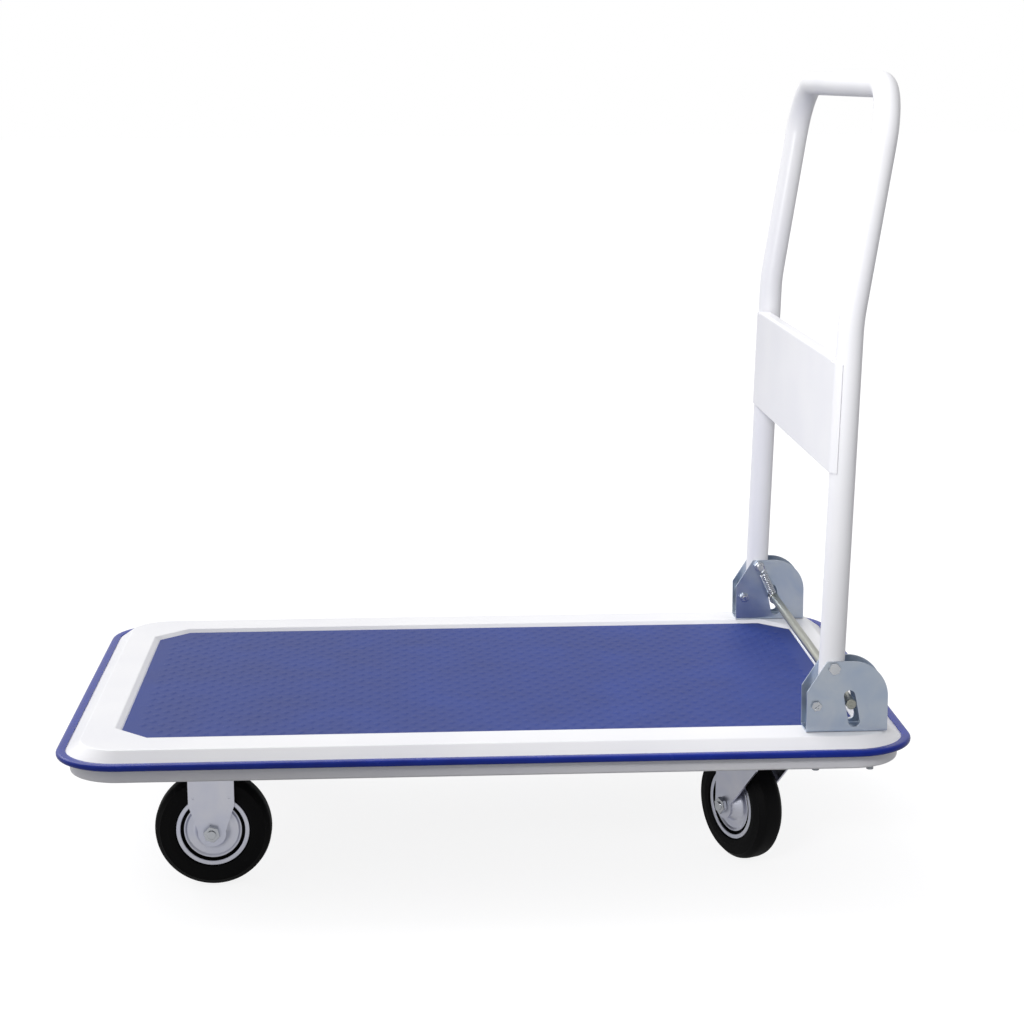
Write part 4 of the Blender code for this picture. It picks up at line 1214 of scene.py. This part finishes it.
def swivelFork(word, nodeWord, matrix, trail, body):
    top = castor["forkTop"]
    under = top - castor["forkSheet"]
    reach = castor["rearReach"]
    front = castor["frontReach"]
    half = castor["forkGap"] + castor["forkSheet"]
    lips = axleHeight - castor["boss"] - past
    section = channelOutline(-half, half, top, lips, castor["forkSheet"], castor["bend"])
    piece = objectFrom(
        word + "Fork", prism(bmesh.new(), section, "X", -front - past, reach + castor["rearFlare"] + past, matrix)
    )
    outline = rounded(
        [
            (reach, top + past, 0.0),
            (-front, top + past, 0.0),
            (-front, top - castor["frontEdge"], 0.004),
            (-0.002, top - 0.040, 0.030),
            (0.010, top - 0.053, 0.030),
        ]
        + arcPoints((trail, axleHeight), castor["boss"], 160, 365, 24)
        + [(reach + castor["rearFlare"], top - castor["rearEdge"], 0.010)],
        steps=6,
    )
    boolean(piece, prism(bmesh.new(), outline, "Y", -half - past, half + past, matrix), "INTERSECT")
    boolean(piece, plainRod(castor["race"], under - 0.0002, top + 0.0001, matrix, 48), "UNION")
    axle = matrix @ placed(trail, 0.0, axleHeight, alongY)
    boolean(piece, plainRod(castor["axleHole"], -half - past, half + past, axle, 24))
    boolean(piece, plainRod(castor["pin"] + castor["pinClear"], under - past, top + past, matrix, 24))
    softEdges(piece, castor["edge"])
    return dress(piece, "pressedZinc", body, [nodeWord + "_fork"], sharp=35)


def axleSet(word, nodeWord, matrix, outboard, body):
    # matrix has the axle along local Y; the nut is on the outboard side
    face = castor["forkGap"] + castor["forkSheet"] + gap
    out = Matrix.Rotation(-outboard * math.pi / 2, 4, "X")
    inward = Matrix.Rotation(outboard * math.pi / 2, 4, "X")
    size = bolts["axle"]
    tip = 2 * face + nutHeight + castor["axleTail"]
    boltPiece(
        word + "AxleBolt", size, matrix @ placed(0, -outboard * face, 0, inward), tip, body=body,
        stands=[nodeWord + "_axle_bolt"],
    )
    nutPiece(
        word + "AxleNut", size, matrix @ placed(0, outboard * face, 0, out) @ turnZ(14), nutHeight, body=body,
        stands=[nodeWord + "_axle_nut"],
    )
    reach = castor["forkGap"] - gap
    sleeve = objectFrom(word + "AxleSleeve", rodShape(castor["sleeve"], -reach, reach, matrix @ alongY, 32))
    boolean(sleeve, plainRod(castor["sleeveBore"], -reach - past, reach + past, matrix @ alongY, 24))
    dress(sleeve, "bolt", body, [nodeWord + "_axle_sleeve"], sharp=35)


def frontCastor(word, side):
    nodeWord = "front_" + word
    name = "front" + word.title()
    centre = middleOf(nodeWord + "_rim")
    base = Matrix.Translation((centre.x, centre.y, 0.0))
    axle = Matrix.Translation(centre)
    rigidFork(name, nodeWord, base)
    axleSet(name, nodeWord, axle, side, "deck")
    wheelPieces(name, nodeWord, axle @ alongY, nodeWord + "_wheel")
    castorBolts(name, base)


def rearCastor(word):
    nodeWord = "rear_" + word
    name = "rear" + word.title()
    centre = middleOf(nodeWord + "_rim")
    turnPlace = Vector(joints[nodeWord + "_turn"]["pos_m"])
    away = Vector((centre.x - turnPlace.x, centre.y - turnPlace.y))
    trail = away.length
    base = Matrix.Translation((turnPlace.x, turnPlace.y, 0.0))
    swivel = base @ Matrix.Rotation(math.atan2(away.y, away.x), 4, "Z")
    axle = swivel @ Matrix.Translation((trail, 0.0, centre.z))
    body = nodeWord + "_swivel"
    swivelFork(name, nodeWord, swivel, trail, body)
    axleSet(name, nodeWord, axle, 1, body)
    wheelPieces(name, nodeWord, axle @ alongY, nodeWord + "_wheel")
    plate = objectFrom(name + "TopPlate", plateShape(base))
    drillPlate(plate, base)
    boolean(plate, plainRod(castor["pin"] + castor["pinClear"], plateBottom - past, plateTop + past, base, 24))
    softEdges(plate, castor["edge"])
    dress(plate, "pressedZinc", "deck", [nodeWord + "_top_plate"], sharp=35)
    raceLow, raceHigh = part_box(nodeWord + "_ball_race")
    waist = (raceLow.z + raceHigh.z) / 2
    race = castor["race"]
    profile = rounded(
        [
            (race, raceHigh.z, 0.0008), (race, waist + 0.001, 0.0012), (race - 0.003, waist, 0.0008),
            (race - 0.001, raceLow.z, 0.0015), (0.012, raceLow.z, 0.0), (0.012, raceHigh.z, 0.0),
        ]
    )
    raceShape = turnedShape(bmesh.new(), profile, 64, base)
    dress(objectFrom(name + "BallRace", raceShape), "pressedZinc", "deck", [nodeWord + "_ball_race"], sharp=35)
    pinLow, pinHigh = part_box(nodeWord + "_kingpin")
    head = (pinHigh.x - pinLow.x) / 2
    pin = castor["pin"]
    headTop = castor["forkTop"] - castor["forkSheet"] - gap
    profile = rounded(
        [
            (0.0, pinHigh.z, 0.0), (pin, pinHigh.z, 0.0006), (pin, headTop, 0.0), (head, headTop, 0.0006),
            (head, headTop - 0.002, 0.0012), (pin, pinLow.z, 0.0012), (0.0, pinLow.z, 0.0),
        ]
    )
    pinShape = turnedShape(bmesh.new(), profile, 40, base, closed=False)
    dress(objectFrom(name + "Kingpin", pinShape), "bolt", "deck", [nodeWord + "_kingpin"], sharp=35)
    castorBolts(name, base)


for word, side in sides.items():
    frontCastor(word, side)
    rearCastor(word)
print("castors made")


# frame nodes that stay as they are

for node in ("front_cross_member", "rear_cross_member", "left_bracket_support", "right_bracket_support"):
    kept = frame["nodes"][node]
    kept.data.materials.clear()
    kept.data.materials.append(finishes["white"])


# studio

studio = {
    "floorGlow": 0.86,  # added to the floor where it is seen directly
    "floorSheen": 0.38,  # and where metal mirrors it
    "floorTone": "#88888A",
    "keyPlace": (-0.45, 0.55, 0.70),  # the way to the key light: behind, to the left and above
    "keyPower": 1.55,
    "keyAngle": math.radians(50),
    "brightWay": (-0.45, 0.75, 0.35),  # the brightest side of the room
    "roomLow": 0.34,
    "roomHigh": 0.86,
    "fillPlace": (-0.50, -1.70, 1.25),
    "fillAim": (0.40, -0.10, 0.66),
    "fillPower": 108.0,
    "fillCone": math.radians(38),
    "fillBlend": 0.7,
    "fillRadius": 0.35,
}


def studioFloor():
    made = bpy.data.materials.new("studioFloor")
    made.use_nodes = True
    tree = made.node_tree
    shader = tree.nodes["Principled BSDF"]
    shader.inputs["Base Color"].default_value = linear(studio["floorTone"])
    shader.inputs["Roughness"].default_value = 0.9
    shader.inputs["Specular IOR Level"].default_value = 0.0
    shader.inputs["Emission Color"].default_value = (1.0, 1.0, 1.0, 1.0)
    rays = addNode(tree, "ShaderNodeLightPath")
    sheen = addNode(tree, "ShaderNodeMath", {"operation": "MULTIPLY"}, {0: (rays, "Is Glossy Ray")})
    sheen.inputs[1].default_value = studio["floorSheen"]
    glow = addNode(
        tree, "ShaderNodeMath", {"operation": "MULTIPLY_ADD"}, {0: (rays, "Is Camera Ray"), 2: (sheen, "Value")}
    )
    glow.inputs[1].default_value = studio["floorGlow"]
    tree.links.new(glow.outputs["Value"], shader.inputs["Emission Strength"])
    shape = bmesh.new()
    bmesh.ops.create_grid(shape, x_segments=1, y_segments=1, size=30.0)
    mesh = bpy.data.meshes.new("studioFloor")
    shape.to_mesh(mesh)
    shape.free()
    mesh.materials.append(made)
    floor = bpy.data.objects.new("studioFloor", mesh)
    bpy.context.scene.collection.objects.link(floor)


def studioRoom():
    # a white room, brighter on one side; plain white where nothing stands in front of it
    world = bpy.data.worlds.new("studio")
    bpy.context.scene.world = world
    world.use_nodes = True
    tree = world.node_tree
    back = tree.nodes["Background"]
    back.inputs["Color"].default_value = (1.0, 1.0, 1.0, 1.0)
    way = addNode(tree, "ShaderNodeTexCoord")
    toward = addNode(tree, "ShaderNodeVectorMath", {"operation": "DOT_PRODUCT"}, {0: (way, "Generated")})
    toward.inputs[1].default_value = Vector(studio["brightWay"]).normalized()
    glow = addNode(
        tree,
        "ShaderNodeMapRange",
        {"From Min": -1.0, "From Max": 1.0, "To Min": studio["roomLow"], "To Max": studio["roomHigh"]},
        {"Value": (toward, "Value")},
    )
    rays = addNode(tree, "ShaderNodeLightPath")
    seen = addNode(
        tree, "ShaderNodeMix", {"data_type": "FLOAT"}, {"Factor": (rays, "Is Camera Ray"), "A": (glow, "Result")}
    )
    seen.inputs["B"].default_value = 1.0
    tree.links.new(seen.outputs["Result"], back.inputs["Strength"])


def lampAt(name, kind, power, place, aim=(0.0, 0.0, 0.0)):
    data = bpy.data.lights.new(name, kind)
    data.energy = power
    lamp = bpy.data.objects.new(name, data)
    bpy.context.scene.collection.objects.link(lamp)
    lamp.location = place
    lamp.rotation_mode = "QUATERNION"
    lamp.rotation_quaternion = (Vector(place) - Vector(aim)).to_track_quat("Z", "Y")
    return data


studioFloor()
studioRoom()
key = lampAt("keyLight", "SUN", studio["keyPower"], studio["keyPlace"])
key.angle = studio["keyAngle"]
fill = lampAt("handleFill", "SPOT", studio["fillPower"], studio["fillPlace"], studio["fillAim"])
fill.spot_size = studio["fillCone"]
fill.spot_blend = studio["fillBlend"]
fill.shadow_soft_size = studio["fillRadius"]
bpy.context.scene.view_settings.view_transform = "Standard"
